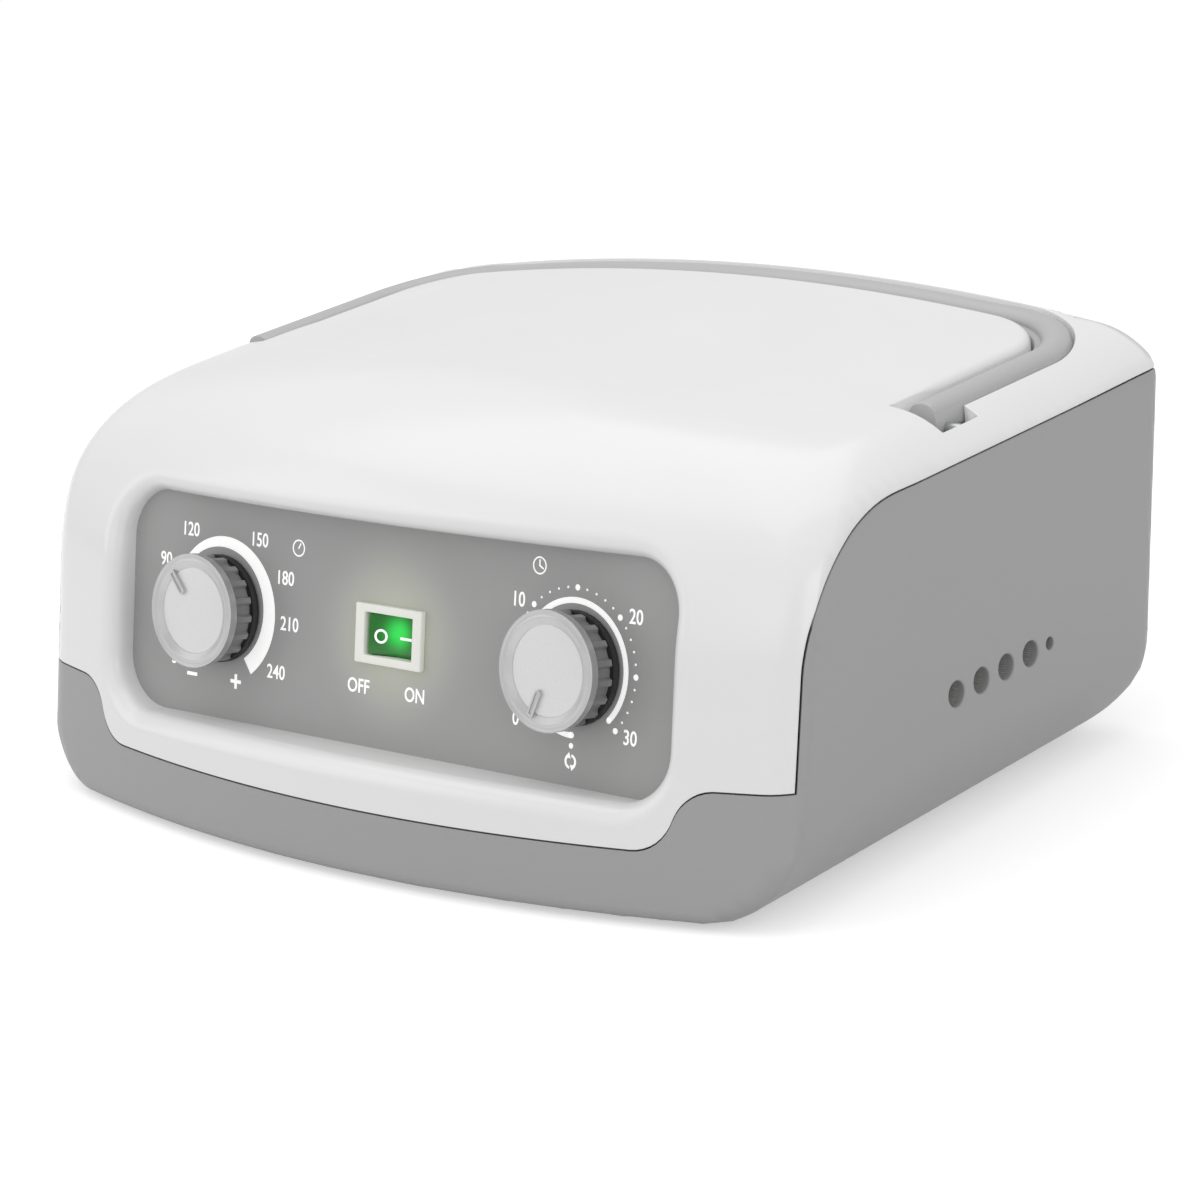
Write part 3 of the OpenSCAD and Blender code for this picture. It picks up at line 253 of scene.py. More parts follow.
# Each part of a skin is laid out flat, cut to its outline there, and then lifted
# onto the form along its own set of rays.
panel_out = np.array([0, -cos(lean_p), sin(lean_p)])
panel_up = np.array([0, sin(lean_p), cos(lean_p)])
panel_at = np.array([0, -68.7, 59.1])
behind = 30


def front_rays(q):
    start = panel_at + q[:, :1] * np.array([1, 0, 0]) + q[:, 1:] * panel_up - behind * panel_out
    return start, np.broadcast_to(panel_out, start.shape)


def front_flat(p):
    return np.stack([p[:, 0], (p - panel_at) @ panel_up], 1)


def back_rays(q):
    return np.stack([q[:, 0], np.full(len(q), 40.0), q[:, 1]], 1), np.broadcast_to([0.0, 1, 0], (len(q), 3))


def back_flat(p):
    return p[:, [0, 2]]


def belt_rays(pivot_x, pivot_z, ease, up, fore, aft, reach):
    """Rays from a spine that runs across, turns a corner and runs on along the sides, and
    that fan out over both ends of its length."""
    def rays(q):
        s, y = q[:, 0], q[:, 1]
        side, a = np.sign(s + 1e-12), np.abs(s)
        turned = np.clip((a - pivot_x) / ease, 0, pi / 2)
        past = np.maximum(a - pivot_x - ease * pi / 2, 0)
        from_y = np.clip(y, fore, aft)
        from_z = np.interp(from_y, [fore, aft], pivot_z)
        start = np.stack([side * np.minimum(a, pivot_x), from_y, from_z - up * past], 1)
        ray = np.stack([side * np.sin(turned), (y - from_y) / reach, up * np.cos(turned)], 1)
        return start, ray / np.linalg.norm(ray, axis=1, keepdims=True)
    return rays


def belt_flat(pivot_x, pivot_z, ease, up, fore, aft, reach):
    def flat(p):
        from_y = np.clip(p[:, 1], fore, aft)
        x, rise = np.abs(p[:, 0]), (p[:, 2] - np.interp(from_y, [fore, aft], pivot_z)) * up
        turned = np.arctan2(np.maximum(x - pivot_x, 0), np.maximum(rise, 1e-9))
        s = np.where(rise < 0, pivot_x + ease * pi / 2 - rise,
                     np.where(x < pivot_x, x, pivot_x + ease * turned))
        off = np.hypot(np.maximum(x - pivot_x, 0), np.maximum(rise, 0))
        return np.stack([np.sign(p[:, 0] + 1e-12) * s, from_y + (p[:, 1] - from_y) * reach / off], 1)
    return flat


def ridge(rays, s, sign, y_in, y_out):
    """The line along which a belt and an end face share a rounded edge equally."""
    lo, hi = np.full(len(s), float(y_in)), np.full(len(s), float(y_out))
    for _ in range(34):
        mid = (lo + hi) / 2
        start, ray = rays(np.stack([s, mid], 1))
        p = strike(form, start, ray)
        n = slope(form, p)
        lost = form(start) > -0.5
        across = ray * [1, 0, 1]
        over = lost | ((n * across).sum(1) < n[:, 1] * sign * np.linalg.norm(across, axis=1))
        hi, lo = np.where(over, mid, hi), np.where(over, lo, mid)
    start, ray = rays(np.stack([s, lo], 1))
    return strike(form, start, ray)


def inside(q, loop):
    """Which flat points lie inside a closed loop."""
    x, y = q[:, 0][:, None], q[:, 1][:, None]
    a, b = loop, np.roll(loop, -1, 0)
    cross = (a[:, 1] > y) != (b[:, 1] > y)
    with np.errstate(divide="ignore", invalid="ignore"):
        at = (b[:, 0] - a[:, 0]) * (y - a[:, 1]) / (b[:, 1] - a[:, 1]) + a[:, 0]
    return (cross & (x < at)).sum(1) % 2 == 1


class Skin:
    """A shell's outer face: points, triangles, and the direction each point faces."""

    def __init__(self):
        self.points, self.faces, self.facing, self.known = [], [], [], {}

    def point(self, p, n):
        key = tuple(np.round(p, 3))
        if key not in self.known:
            self.known[key] = len(self.points)
            self.points.append(p)
            self.facing.append(n)
        return self.known[key]

    def patch(self, rays, flat, edge, lines=(), holes=(), field=form, step=3.2):
        """One flat layout: its edge as points in space, lines to follow, and loops to leave open."""
        loop = flat(edge)
        spots, fixed, wires = [*loop], len(loop), [(i, (i + 1) % len(loop)) for i in range(len(loop))]
        for line in [*lines, *holes]:
            n, first = len(line), len(spots)
            spots += [*line]
            wires += [(first + i, first + (i + 1) % n) for i in range(n)]
        drawn = np.array(spots)
        lo, hi = drawn.min(0), drawn.max(0)
        rows = np.arange(lo[1], hi[1], step * 0.866)
        mesh_points = np.array([[x + (step / 2 if k % 2 else 0), y] for k, y in enumerate(rows)
                                for x in np.arange(lo[0], hi[0], step)])
        mesh_points = mesh_points[inside(mesh_points, loop)]
        near = np.concatenate([np.min(np.hypot(drawn[:, 0] - part[:, :1], drawn[:, 1] - part[:, 1:]), 1)
                               for part in np.array_split(mesh_points, 40)])
        mesh_points = mesh_points[near > step * 0.62]
        spots += [*mesh_points]
        made = mathutils.geometry.delaunay_2d_cdt([Vector(s) for s in spots], wires, [], 0, 1e-5)
        where = np.array([v[:] for v in made[0]])
        start, ray = rays(where)
        lifted = strike(field, start, ray)
        for i, origin in enumerate(made[3]):
            for o in origin:
                if o < fixed:
                    lifted[i] = edge[o]
        normals = slope(field, lifted)
        tri = np.array(made[2])
        mid = where[tri].mean(1)
        keep = inside(mid, loop)
        for hole in holes:
            keep &= ~inside(mid, np.array(hole))
        ids = np.array([self.point(lifted[i], normals[i]) for i in range(len(where))])
        for t in ids[tri[keep]]:
            a, b, c = (self.points[i] for i in t)
            turn = np.cross(b - a, c - a) @ (self.facing[t[0]] + self.facing[t[1]] + self.facing[t[2]])
            if len(set(t)) == 3:
                self.faces.append(tuple(t) if turn > 0 else tuple(t[::-1]))

    def strip(self, rows, normals, closed=True):
        """A band of quads between rows of points, such as a rolled edge and the wall behind it."""
        ids = [[self.point(p, n) for p, n in zip(row, ns)] for row, ns in zip(rows, normals)]
        count = len(ids[0])
        for low, high, ns in zip(ids, ids[1:], normals[1:]):
            for i in range(count if closed else count - 1):
                j = (i + 1) % count
                quad = [low[i], low[j], high[j], high[i]]
                if len(set(quad)) < 4:
                    quad = list(dict.fromkeys(quad))
                    if len(quad) < 3:
                        continue
                a, b, c = (self.points[k] for k in quad[:3])
                self.faces.append(tuple(quad) if np.cross(b - a, c - a) @ (ns[i] + normals[0][i]) > 0
                                  else tuple(quad[::-1]))

    def finish(self, name, material):
        mesh = bpy.data.meshes.new(name)
        mesh.from_pydata([tuple(p / 1000) for p in self.points], [], self.faces)
        mesh.validate()
        mesh.polygons.foreach_set("use_smooth", [True] * len(mesh.polygons))
        mesh.normals_split_custom_set_from_vertices([tuple(n) for n in self.facing])
        mesh.materials.append(material)
        return show(name, mesh)


def arc(x, y, r, start, end, n):
    return [(x + r * cos(radians(start + (end - start) * i / n)),
             y + r * sin(radians(start + (end - start) * i / n))) for i in range(n + 1)]


def fine(points, spacing, closed=False):
    """A polyline with every corner kept and its long stretches divided."""
    points = [np.array(p, float) for p in points]
    ends = points[1:] + ([points[0]] if closed else [])
    out = []
    for a, b in zip(points, ends):
        n = max(int(np.ceil(np.linalg.norm(b - a) / spacing - 1e-6)), 1)
        out += [a + (b - a) * i / n for i in range(n)]
    return np.array(out if closed else out + [points[-1]])


# The seam's heights at the front's middle and corners, and the radii of its three bends.
seam_low, seam_step, curl_x, curl_r, sweep_r = 19.5, 35.8, 96, 12, 46


def side_seam(lift):
    """The side seam in the side view, from the front corner up and back, as (y, z)."""
    corner_y = (front_y + bow_r - sqrt(bow_r ** 2 - half_w ** 2)
                + (seam_step - floor_z) * tan(lean_f) + 2.5)
    slant = tan(lean_p)
    bend_mid = (corner_y + (seam_z - seam_step + lift) * slant - lift
                + sweep_r * tan((pi / 2 - lean_p) / 2))
    return ([(corner_y + lift * slant - lift, seam_step + lift)]
            + arc(bend_mid, seam_z + lift - sweep_r, sweep_r, 180 - degrees(lean_p), 90, 24))


def front_seam(lift):
    """The front seam in the front view, from the middle to the right, as (x, z)."""
    turn = degrees(acos(1 - (seam_step - seam_low) / (2 * curl_r)))
    run = 2 * curl_r * sin(radians(turn))
    bend = (arc(curl_x, seam_low + curl_r, curl_r, -90, turn - 90, 10)
            + arc(curl_x + run, seam_step - curl_r, curl_r, turn + 90, 90, 10))
    return [(0, seam_low + lift)] + [(x, z + lift) for x, z in bend]


def even(points, n):
    """A polyline as n even steps."""
    points = np.array(points, float)
    run = np.concatenate([[0], np.cumsum(np.linalg.norm(np.diff(points, axis=0), axis=1))])
    at = np.linspace(0, run[-1], n + 1)
    return np.stack([np.interp(at, run, points[:, i]) for i in range(points.shape[1])], 1)


def seam_lines(lift, front_corner, back_corner):
    """The seam in space: along the front, up the right side, and across the back."""
    half = even(front_seam(lift) + [(front_corner[0], seam_step + lift)], 74)
    front = np.concatenate([half[:0:-1] * [-1, 1], half])
    start = np.stack([front[:, 0], np.full(len(front), -40.0), front[:, 1]], 1)
    front = strike(form, start, np.broadcast_to([0.0, -1, 0], start.shape))
    rise = side_seam(lift)
    flat = np.concatenate([even([(front_corner[1], seam_step + lift), rise[0]], 2)[:-1],
                           even(rise[:2], 18)[:-1], even(rise[1:], 30)[:-1],
                           even([rise[-1], (back_corner[1], seam_z + lift)], 40)])
    start = np.stack([np.full(len(flat), 60.0), flat[:, 0], flat[:, 1]], 1)
    side = strike(form, start, np.broadcast_to([1.0, 0, 0], start.shape))
    across = np.linspace(back_corner[0], -back_corner[0], 100)
    start = np.stack([across, np.full(100, 40.0), np.full(100, seam_z + lift)], 1)
    back = strike(form, start, np.broadcast_to([0.0, 1, 0], start.shape))
    front[-1] = side[0] = front_corner
    side[-1] = back[0] = back_corner
    mirror = np.array([-1, 1, 1])
    front[0], back[-1] = front_corner * mirror, back_corner * mirror
    return front, side, back


def corners(lift):
    """Where the seam turns the upright front and back edges, on the right."""
    out = []
    for x, y, aim, z in ((125, -60, -1, seam_step + lift), (125, 86, 1, seam_z + lift)):
        ray = np.array([[1, aim, 0]]) / sqrt(2)
        out.append(strike(form, np.array([[x, y, z]], float), ray)[0])
    return out


def shell(skin, lift, roll, rays, flat, end_rays, end_flat, field_belt, field_front,
          belt_lines=(), belt_holes=(), front_lines=(), front_holes=(), back_holes=()):
    """Three laid-out patches that meet along two ridges, and the rolled edge along the seam."""
    mirror = np.array([-1, 1, 1])
    front_corner, back_corner = corners(lift + roll)
    front, side, back = seam_lines(lift + roll, front_corner, back_corner)
    ridges = []
    for corner, sign, far in ((front_corner, -1, -400), (back_corner, 1, 300)):
        s_end = flat(corner[None])[0][0]
        s = np.linspace(0, s_end, int(s_end / 2.4) + 1)
        start_y = -50 if sign < 0 else 50
        line = ridge(rays, s, sign, start_y, far)
        line[-1] = corner
        ridges.append(np.concatenate([line[:0:-1] * mirror, line]))
    left = side[::-1] * mirror
    belt = np.concatenate([ridges[0][:-1], side[:-1], ridges[1][:0:-1], left[:-1]])
    skin.patch(rays, flat, belt, belt_lines, belt_holes, field_belt)
    skin.patch(end_rays, end_flat, np.concatenate([ridges[0][:-1], front[:0:-1]]),
               front_lines, front_holes, field_front)
    skin.patch(back_rays, back_flat, np.concatenate([ridges[1][:-1], back[:-1]]), (), back_holes, form)
    edge = np.concatenate([front[:-1], side[:-1], back[:-1], left[:-1]])
    lines = seam_lines(lift, *corners(lift))
    seam = np.concatenate([lines[0][:-1], lines[1][:-1], lines[2][:-1], (lines[1][::-1] * mirror)[:-1]])
    out = slope(form, seam)
    over = seam - edge
    over /= np.linalg.norm(over, axis=1, keepdims=True)
    size = abs(roll)
    skin.strip([edge, seam - over * size * 0.3 - out * size * 0.3, seam - out * size, seam - out * 2.4],
               [slope(form, edge), (out + over) / sqrt(2), over, over])


# The handle's line in plan: along the sides, round two bends and across the rear. Its
# groove is 12.1 mm wide, and opens into a finger pocket at each front end.
side_x, rear_y, bend_x, bend_y, bend_r = 123.25, 94.05, 96.5, 67.3, 26.75
groove_half, groove_deep = 6.05, 10.5
groove_end, pocket_low, pocket_far, pocket_rear, pocket_z = 12.5, 9.2, 133.5, 25, 96.5


def groove_loop(g):
    """The groove and its pockets in plan, grown by g."""
    in_x, out_x = side_x - groove_half - g, side_x + groove_half + g
    right = ([(in_x, pocket_low - g), (pocket_far + g, pocket_low - g), (pocket_far + g, pocket_rear + g),
              (out_x, pocket_rear + g)] + arc(bend_x, bend_y, bend_r + groove_half + g, 0, 90, 22))
    inner = arc(bend_x, bend_y, bend_r - groove_half - g, 90, 0, 16)
    return fine(right + [(-x, y) for x, y in right[::-1]] + [(-x, y) for x, y in inner[::-1]] + inner,
                3.0, closed=True)


def groove(p):
    """Distance to the groove's and the pockets' space, in millimetres; negative inside."""
    x, y, z = np.abs(p[:, 0]), p[:, 1], p[:, 2]
    bent = np.where(x > bend_x, np.abs(np.hypot(x - bend_x, y - bend_y) - bend_r), np.abs(y - rear_y))
    band = np.maximum(np.where(y < bend_y, np.abs(x - side_x), bent) - groove_half, groove_end - y)
    depth = np.hypot(x, z - crown_mid) - crown_r + groove_deep
    pocket = box_distance(np.maximum(side_x - groove_half - x, x - pocket_far),
                          np.maximum(pocket_low - y, y - pocket_rear))
    return np.minimum(np.maximum(band, -depth), np.maximum(pocket, pocket_z - z))


# The panel's opening: half its width and height, and its corners.
open_w, open_h, open_r = 103.5, 31.7, 15


def opening_loop(g):
    w, h, r = open_w + g, open_h + g, open_r + g
    turns = (w - r, h - r, 0), (r - w, h - r, 90), (r - w, r - h, 180), (w - r, r - h, 270)
    return fine([c for x, y, a in turns for c in arc(x, y, r, a, a + 90, 14)], 3.0, closed=True)


def opening(p):
    q = front_flat(p)
    return box_distance(np.abs(q[:, 0]) - open_w + open_r, np.abs(q[:, 1]) - open_h + open_r) - open_r


def upper_top(p):
    """The form with the groove cut, sharp outside and softly rounded on the pad's side."""
    x, y = np.abs(p[:, 0]), p[:, 1]
    pad = (x < side_x - 0.2 * np.maximum(y - bend_y, 0)) & (y < 94) & (y > groove_end)
    inner = np.hypot(np.maximum(x - bend_x, 0), np.maximum(y - bend_y, 0)) < bend_r
    fade = np.interp(y, [22, 32], [0.5, 2.4])
    return round_max(form(p), -groove(p), np.where(pad & inner, fade, 0.5))


def upper_front(p):
    return round_max(form(p), -opening(p), 6)


top_spine = (135, (80, 97), 20, 1, -40, 101, 12)
top_rays, top_flat = belt_rays(*top_spine), belt_flat(*top_spine)
white = Skin()
rim = opening_loop(0.03)
shell(white, 0.4, 0.25, top_rays, top_flat, front_rays, front_flat,
      upper_top, upper_front,
      belt_lines=[groove_loop(g) for g in (2.3, 1.5, 1.0, 0.6, 0.35, 0.15, 0.02, -0.03)],
      front_lines=[opening_loop(g) for g in (6.3, 5, 3.9, 2.9, 2.0, 1.2, 0.6, 0.2)], front_holes=[rim])
start, ray = front_rays(rim)
lip = strike(upper_front, start, ray)
inward = -slope(opening, lip)
white.strip([lip, start + panel_out * (behind - 0.1)], [inward, inward])

# Polished ABS: even and glossy, with a faint orange peel 2.4 mm wide.
abs_white = surface("abs_white_polished", "#E6E6E6", "#E9E9E9", (0.17, 0.25), dict(Scale=26.0, Detail=4.0),
                    dict(Scale=420.0, Detail=2.0), (0.035, 0.0002), IOR=1.53)
upper = white.finish("upper_shell", abs_white)
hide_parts("upper_casing")
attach(upper, "base")

# ----------------------------------------
# Lower casing: grey ABS, with four hose outlets and a vent on the right side, the power
# inlet and fuse at the back, and air slots in the floor.

low_spine = (115, (26.5, 26.5), 25, -1, -70, 72, 25)
lower_rays, lower_flat = belt_rays(*low_spine), belt_flat(*low_spine)


def foot_rays(q):
    return np.stack([q[:, 0], np.full(len(q), -50.0), q[:, 1]], 1), np.broadcast_to([0.0, -1, 0], (len(q), 3))


def ring(x, y, r, n):
    return [(x + r * cos(2 * pi * i / n), y + r * sin(2 * pi * i / n)) for i in range(n)]


def slot_loop(x, y, w, d):
    return fine([(x + sx * w / 2, y + sy * d / 2) for sx, sy in ((-1, -1), (1, -1), (1, 1), (-1, 1))],
                3.0, closed=True)


def well(skin, loop, rays, roll, depth):
    """A hole with a rolled or chamfered mouth: the loop is its outer edge in the flat layout."""
    loop = np.array(loop)
    start, ray = rays(loop)
    mouth = strike(form, start, ray)
    out = slope(form, mouth)
    middle = mouth.mean(0)
    inward = middle - mouth
    inward -= out * (inward * out).sum(1, keepdims=True)
    inward /= np.linalg.norm(inward, axis=1, keepdims=True)
    skin.strip([mouth, mouth + inward * roll * 0.75 - out * roll * 0.3,
                mouth + inward * roll - out * roll * 0.9, mouth + inward * roll - out * depth],
               [out, (out * 0.8 + inward) / sqrt(1.64), inward, inward])


# The four outlets and the vent stand in a row 39.8 mm up, at their distance round the belt.
outlet_pitch, outlet_first, outlet_r = 11.3, -3.4, 4.1
side_at = 115 + 25 * pi / 2 + 39.8 - 26.5
outlet_loops = [ring(side_at, outlet_first + outlet_pitch * i, outlet_r, 36) for i in range(4)]
vent_loop = ring(side_at, 39.5, 2.15, 24)
slot_loops = [slot_loop(-94 + 5 * i, -8, 2.8, 24.4) for i in range(-3, 4)]
screw_loops = [ring(x, y, 3.3, 24) for x in (-110, 110) for y in (-36, 62)]
inlet_z = 38
inlet_loop = slot_loop(-92, inlet_z, 22.6, 14.6 * cos(lean_b))
fuse_loop = [(x, inlet_z + (z - inlet_z) * cos(lean_b)) for x, z in ring(-60, inlet_z, 7.3, 40)]

grey = Skin()
shell(grey, 0.0, -0.25, lower_rays, lower_flat, foot_rays, back_flat, form, form,
      belt_holes=[*outlet_loops, vent_loop, *slot_loops, *screw_loops], back_holes=[inlet_loop, fuse_loop])
for loop in outlet_loops:
    well(grey, loop, lower_rays, 0.6, 8.0)
well(grey, vent_loop, lower_rays, 0.4, 2.5)
for loop in slot_loops + screw_loops:
    well(grey, loop, lower_rays, 0.3, 2.3)
for loop in (inlet_loop, fuse_loop):
    well(grey, loop, back_rays, 0.2, 2.4)

# Spark-eroded ABS: satin, with a grain 0.5 mm wide that only blurs the highlights.
abs_grey = surface("abs_grey_moulded", "#9C9C9C", "#A0A0A0", (0.38, 0.48), dict(Scale=18.0, Detail=3.0),
                   dict(Scale=1900.0, Detail=2.0), (0.12, 0.0002), IOR=1.53)
lower = grey.finish("lower_shell", abs_grey)
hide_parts("lower_casing")
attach(lower, "base")

# ----------------------------------------
# Control panel: a satin plate moulded in grey ABS, screwed behind the opening of the
# upper casing. Its face is textured, and carries a painted glow for the light that leaks from the rocker.

on_panel = Matrix.Translation((0, -0.0687, 0.0591)) @ Matrix.Rotation(pi / 2 - lean_p, 4, "X")


def distance_from(tree, coords, centre, far):
    """A ramp over the distance from a point on the piece: 1 there, 0 at far, in metres."""
    off = add(tree, "VectorMath", {"operation": "DISTANCE"}, i0=(coords, "Object"), i1=centre)
    return add(tree, "MapRange", {"interpolation_type": "SMOOTHERSTEP"}, Value=(off, "Value"),
               From_Min=0.0, From_Max=far, To_Min=1.0, To_Max=0.0)


# Textured ABS: more matt than the casing, with a finer grain and a warm painted glow around the lamp.
abs_panel = surface("abs_satin_panel", "#9E9E9E", "#A2A2A1", (0.42, 0.52), dict(Scale=11.0, Detail=3.0),
                    dict(Scale=2600.0, Detail=3.0), (0.16, 0.0001), IOR=1.53,
                    Emission_Color=linear("#DCE6B4"))
tree = abs_panel.node_tree
# Painted light: the panel gives off a warm glow that fades out 34 mm from the rocker.
painted_glow = distance_from(tree, tree.nodes["Texture Coordinate"], tuple(on_panel.translation), 0.034)
painted_glow_strength = add(tree, "Math", {"operation": "MULTIPLY"}, i0=(painted_glow, 0), i1=0.2)
tree.links.new(painted_glow_strength.outputs[0], tree.nodes["Principled BSDF"].inputs["Emission Strength"])
nodes["control_panel"].data.materials[0] = abs_panel

# ----------------------------------------
# Printing: white pad print on the panel, a film of ink 0.05 mm thick. The dials
# have scales in numbers, the timer a dot for each minute.

# Pad print: flat white ink. It gives off a little light, so that it reads as pure white.
print_ink, tree = new_material("pad_print_white")
coords = add(tree, "TexCoord")
patchy = add(tree, "TexNoise", Vector=(coords, "Object"), Scale=900.0, Detail=2.0)
tint = add(tree, "Mix", {"data_type": "RGBA"}, i0=(patchy, "Fac"), i6=linear("#F1F1F0"), i7=linear("#FBFBFA"))
ink = add(tree, "BsdfPrincipled", Base_Color=(tint, 2), Roughness=0.4,
          Emission_Color=(1, 1, 1, 1), Emission_Strength=0.34)
add(tree, "OutputMaterial", Surface=(ink, 0))

ink_low, ink_top = -0.02, 0.05
prints = []


def mode(name):
    bpy.ops.object.mode_set(mode=name)


def outward():
    """Turn every face of the active piece outwards."""
    mode("EDIT")
    bpy.ops.mesh.select_all(action="SELECT")
    bpy.ops.mesh.normals_make_consistent(inside=False)
    mode("OBJECT")


def joined(parts):
    """The parts as one piece, with the first one's name, selected and active."""
    deselect()
    for part in parts:
        part.select_set(True)
    bpy.context.view_layer.objects.active = parts[0]
    if len(parts) > 1:
        bpy.ops.object.join()
    return bpy.context.object


def film(outline):
    """A flat printed shape as a thin closed solid, from its outline in millimetres."""
    n = len(outline)
    points = [(x / 1000, y / 1000, h / 1000) for h in (ink_low, ink_top) for x, y in outline]
    sides = [(i, (i + 1) % n, n + (i + 1) % n, n + i) for i in range(n)]
    mesh = bpy.data.meshes.new("film")
    mesh.from_pydata(points, [], [tuple(range(n))[::-1], tuple(range(n, 2 * n))] + sides)
    return show("film", mesh)


def lettering(text, x, y, size):
    """A printed number or word, centred at a point of the panel, as a thin closed solid."""
    bpy.ops.object.text_add()
    made = bpy.context.object
    made.data.body = text
    made.data.align_x, made.data.align_y = "CENTER", "CENTER"
    made.data.size = size / 1000
    made.data.extrude = (ink_top - ink_low) / 2000
    made.data.offset = 0.00006
    made.data.resolution_u = 4
    bpy.ops.object.convert(target="MESH")
    made = bpy.context.object
    made.data.transform(Matrix.Diagonal((0.86, 1, 1, 1)))
    made.data.transform(Matrix.Translation((x / 1000, y / 1000, (ink_top + ink_low) / 2000)))
    return made


def band(cx, cy, turns, inner, outer):
    """The outline of a curved band from its inner and outer radius at each angle."""
    far = [(cx + r * cos(radians(a)), cy + r * sin(radians(a))) for a, r in zip(turns, outer)]
    near = [(cx + r * cos(radians(a)), cy + r * sin(radians(a))) for a, r in zip(turns, inner)]
    return near + far[::-1]


knob_at, number_size = 66.7, 5.6
# Pressure scale: a band that widens towards high pressure, numbers, and signs.
turns = np.linspace(215, -55, 90)
width = np.interp(turns, [-55, 0, 94, 138, 215], [5.1, 4.6, 3.0, 1.9, 0.5])
prints.append(film(band(-knob_at, 0, turns, 19.1 - width * 0.55, 19.1 + width * 0.45)))
scale = [("30", -84.6, -16.6), ("60", -91.6, -1.2), ("90", -90.4, 11.4), ("120", -80.6, 21.0),
         ("150", -52.7, 20.8), ("180", -42.0, 11.1), ("210", -39.7, -1.7), ("240", -44.4, -15.8)]
prints += [lettering(text, x, y, number_size) for text, x, y in scale]
prints.append(film([(-80.4, -20.9), (-76.2, -20.9), (-76.2, -19.9), (-80.4, -19.9)]))
arm, thick = 2.1, 0.5
plus = [(-arm, -thick), (-thick, -thick), (-thick, -arm), (thick, -arm), (thick, -thick), (arm, -thick),
        (arm, thick), (thick, thick), (thick, arm), (-thick, arm), (-thick, thick), (-arm, thick)]
prints.append(film([(x - 60.4, y - 20.4) for x, y in plus]))

# Timer scale: an arc with round ends, a dot a minute, and a sign for running on.
dial_x, dot_ring, per_minute = 66.0, 21.1, 9.0
turns = np.linspace(225, -45, 90)
prints.append(film(band(dial_x, 0, turns, np.full(90, 16.9), np.full(90, 18.5))))
prints += [film(ring(dial_x + 17.7 * cos(a), 17.7 * sin(a), 0.8, 20))
           for a in (radians(225), radians(-45))]
for minute in range(31):
    a = radians(225 - per_minute * minute)
    prints.append(film(ring(dial_x + dot_ring * cos(a), dot_ring * sin(a),
                                          0.32 if minute % 5 else 0.82, 20)))
prints += [lettering(text, x, y, number_size) for text, x, y in
           (("0", 46.2, -16.3), ("10", 45.5, 15.5), ("20", 86.3, 15.5), ("30", 86.0, -16.3))]
run_on = np.linspace(252, 270, 12)
prints.append(film(band(dial_x, 0, run_on, np.linspace(18.1, 17.2, 12), np.full(12, 18.9))))
prints.append(film(ring(dial_x, -18.05, 0.85, 20)))
prints.append(film(ring(dial_x, -20.9, 0.75, 20)))
for flip in (1, -1):
    turns = np.linspace(80, -60, 20)
    hook = band(0, 0, turns, np.full(20, 1.35), np.full(20, 2.0))
    tip = radians(-62)
    head = [(1.68 * cos(tip) + dx, 1.68 * sin(tip) + dy)
            for dx, dy in ((1.0, 0.45), (-0.85, 0.65), (-0.25, -0.95))]
    prints.append(film([(dial_x + flip * x, -25.1 + flip * y) for x, y in hook]))
    prints.append(film([(dial_x + flip * x, -25.1 + flip * y) for x, y in head]))

# Generic signs for what each dial sets: a gauge, and a clock.
for x, y, hands in ((-37.0, 20.3, (60,)), (52.5, 25.4, (-30, 90))):
    prints.append(film(band(x, y, np.linspace(0, 359.9, 60), np.full(60, 2.0), np.full(60, 2.4))))
    for turn in hands:
        a = radians(turn)
        ax, ay = cos(a), sin(a)
        prints.append(film([(x + ax * d - ay * w, y + ay * d + ax * w)
                                         for d, w in ((-0.2, -0.2), (1.6, -0.2), (1.6, 0.2), (-0.2, 0.2))]))
prints += [lettering(text, x, -15.4, number_size) for text, x in (("OFF", -12.1), ("ON", 9.2))]

printing = joined(prints)
printing.name = "panel_print"
printing.data.transform(on_panel)
printing.data.materials.clear()
printing.data.materials.append(print_ink)
printing.data.polygons.foreach_set("material_index", [0] * len(printing.data.polygons))
outward()
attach(printing, "base")

# ----------------------------------------
# Knobs: a dark ABS skirt with 18 ribs on a black foot, and a cap turned and sand
# blasted in aluminium, with a stepped bright rim and a raised pointer.

# Moulded ABS for the ribs: mid grey and satin. The foot, the ring below the ribs next to the panel, is
# coloured near black and matt.
abs_dark = surface("abs_dark_moulded", "#747474", "#7E7E7E", (0.34, 0.46), dict(Scale=140.0, Detail=4.0),
                   dict(Scale=2200.0, Detail=2.0), (0.1, 0.0001), IOR=1.53)
foot_near_black = surface("knob_foot_near_black", "#0E0E0E", "#141414", (0.5, 0.65), dict(Scale=160.0, Detail=4.0))
# Sand-blasted aluminium: pale and even, with a grit 0.4 mm wide that shows as fine specks.
blasted = surface("aluminium_sand_blasted", "#CFCFCF", "#E2E2E2", (0.46, 0.56), dict(Scale=90.0, Detail=3.0),
                  dict(Scale=2400.0, Detail=3.0, Roughness=0.7), (0.2, 0.0001), by_grain=True, Metallic=0.75)
# Turned aluminium: smoother than the blasted face, so that the rim's steps catch lines of light. Its colour,
# darker than the blasted face's, is a painted dark reflection.
turned = surface("aluminium_turned_painted_dark_reflection", "#BEBEBE", "#C6C6C6", (0.36, 0.42), dict(Scale=260.0, Detail=2.0),
                 Metallic=0.8)

MM = 0.001
rib_count, rib_root, rib_rise, rib_draw = 18, 14.1, 1.25, 0.42
foot_r, foot_low, foot_top, skirt_top = 15.35, 0.6, 2.9, 10.0
recess_r, recess_top, bore_r, bore_top = 8.0, 5.0, 3.05, 8.6
cap_r, cap_top, rim_in, disc_r, disc_deep = 16.15, 12.5, 14.3, 12.5, 0.9
pointer_in, pointer_w = 5.8, 2.1


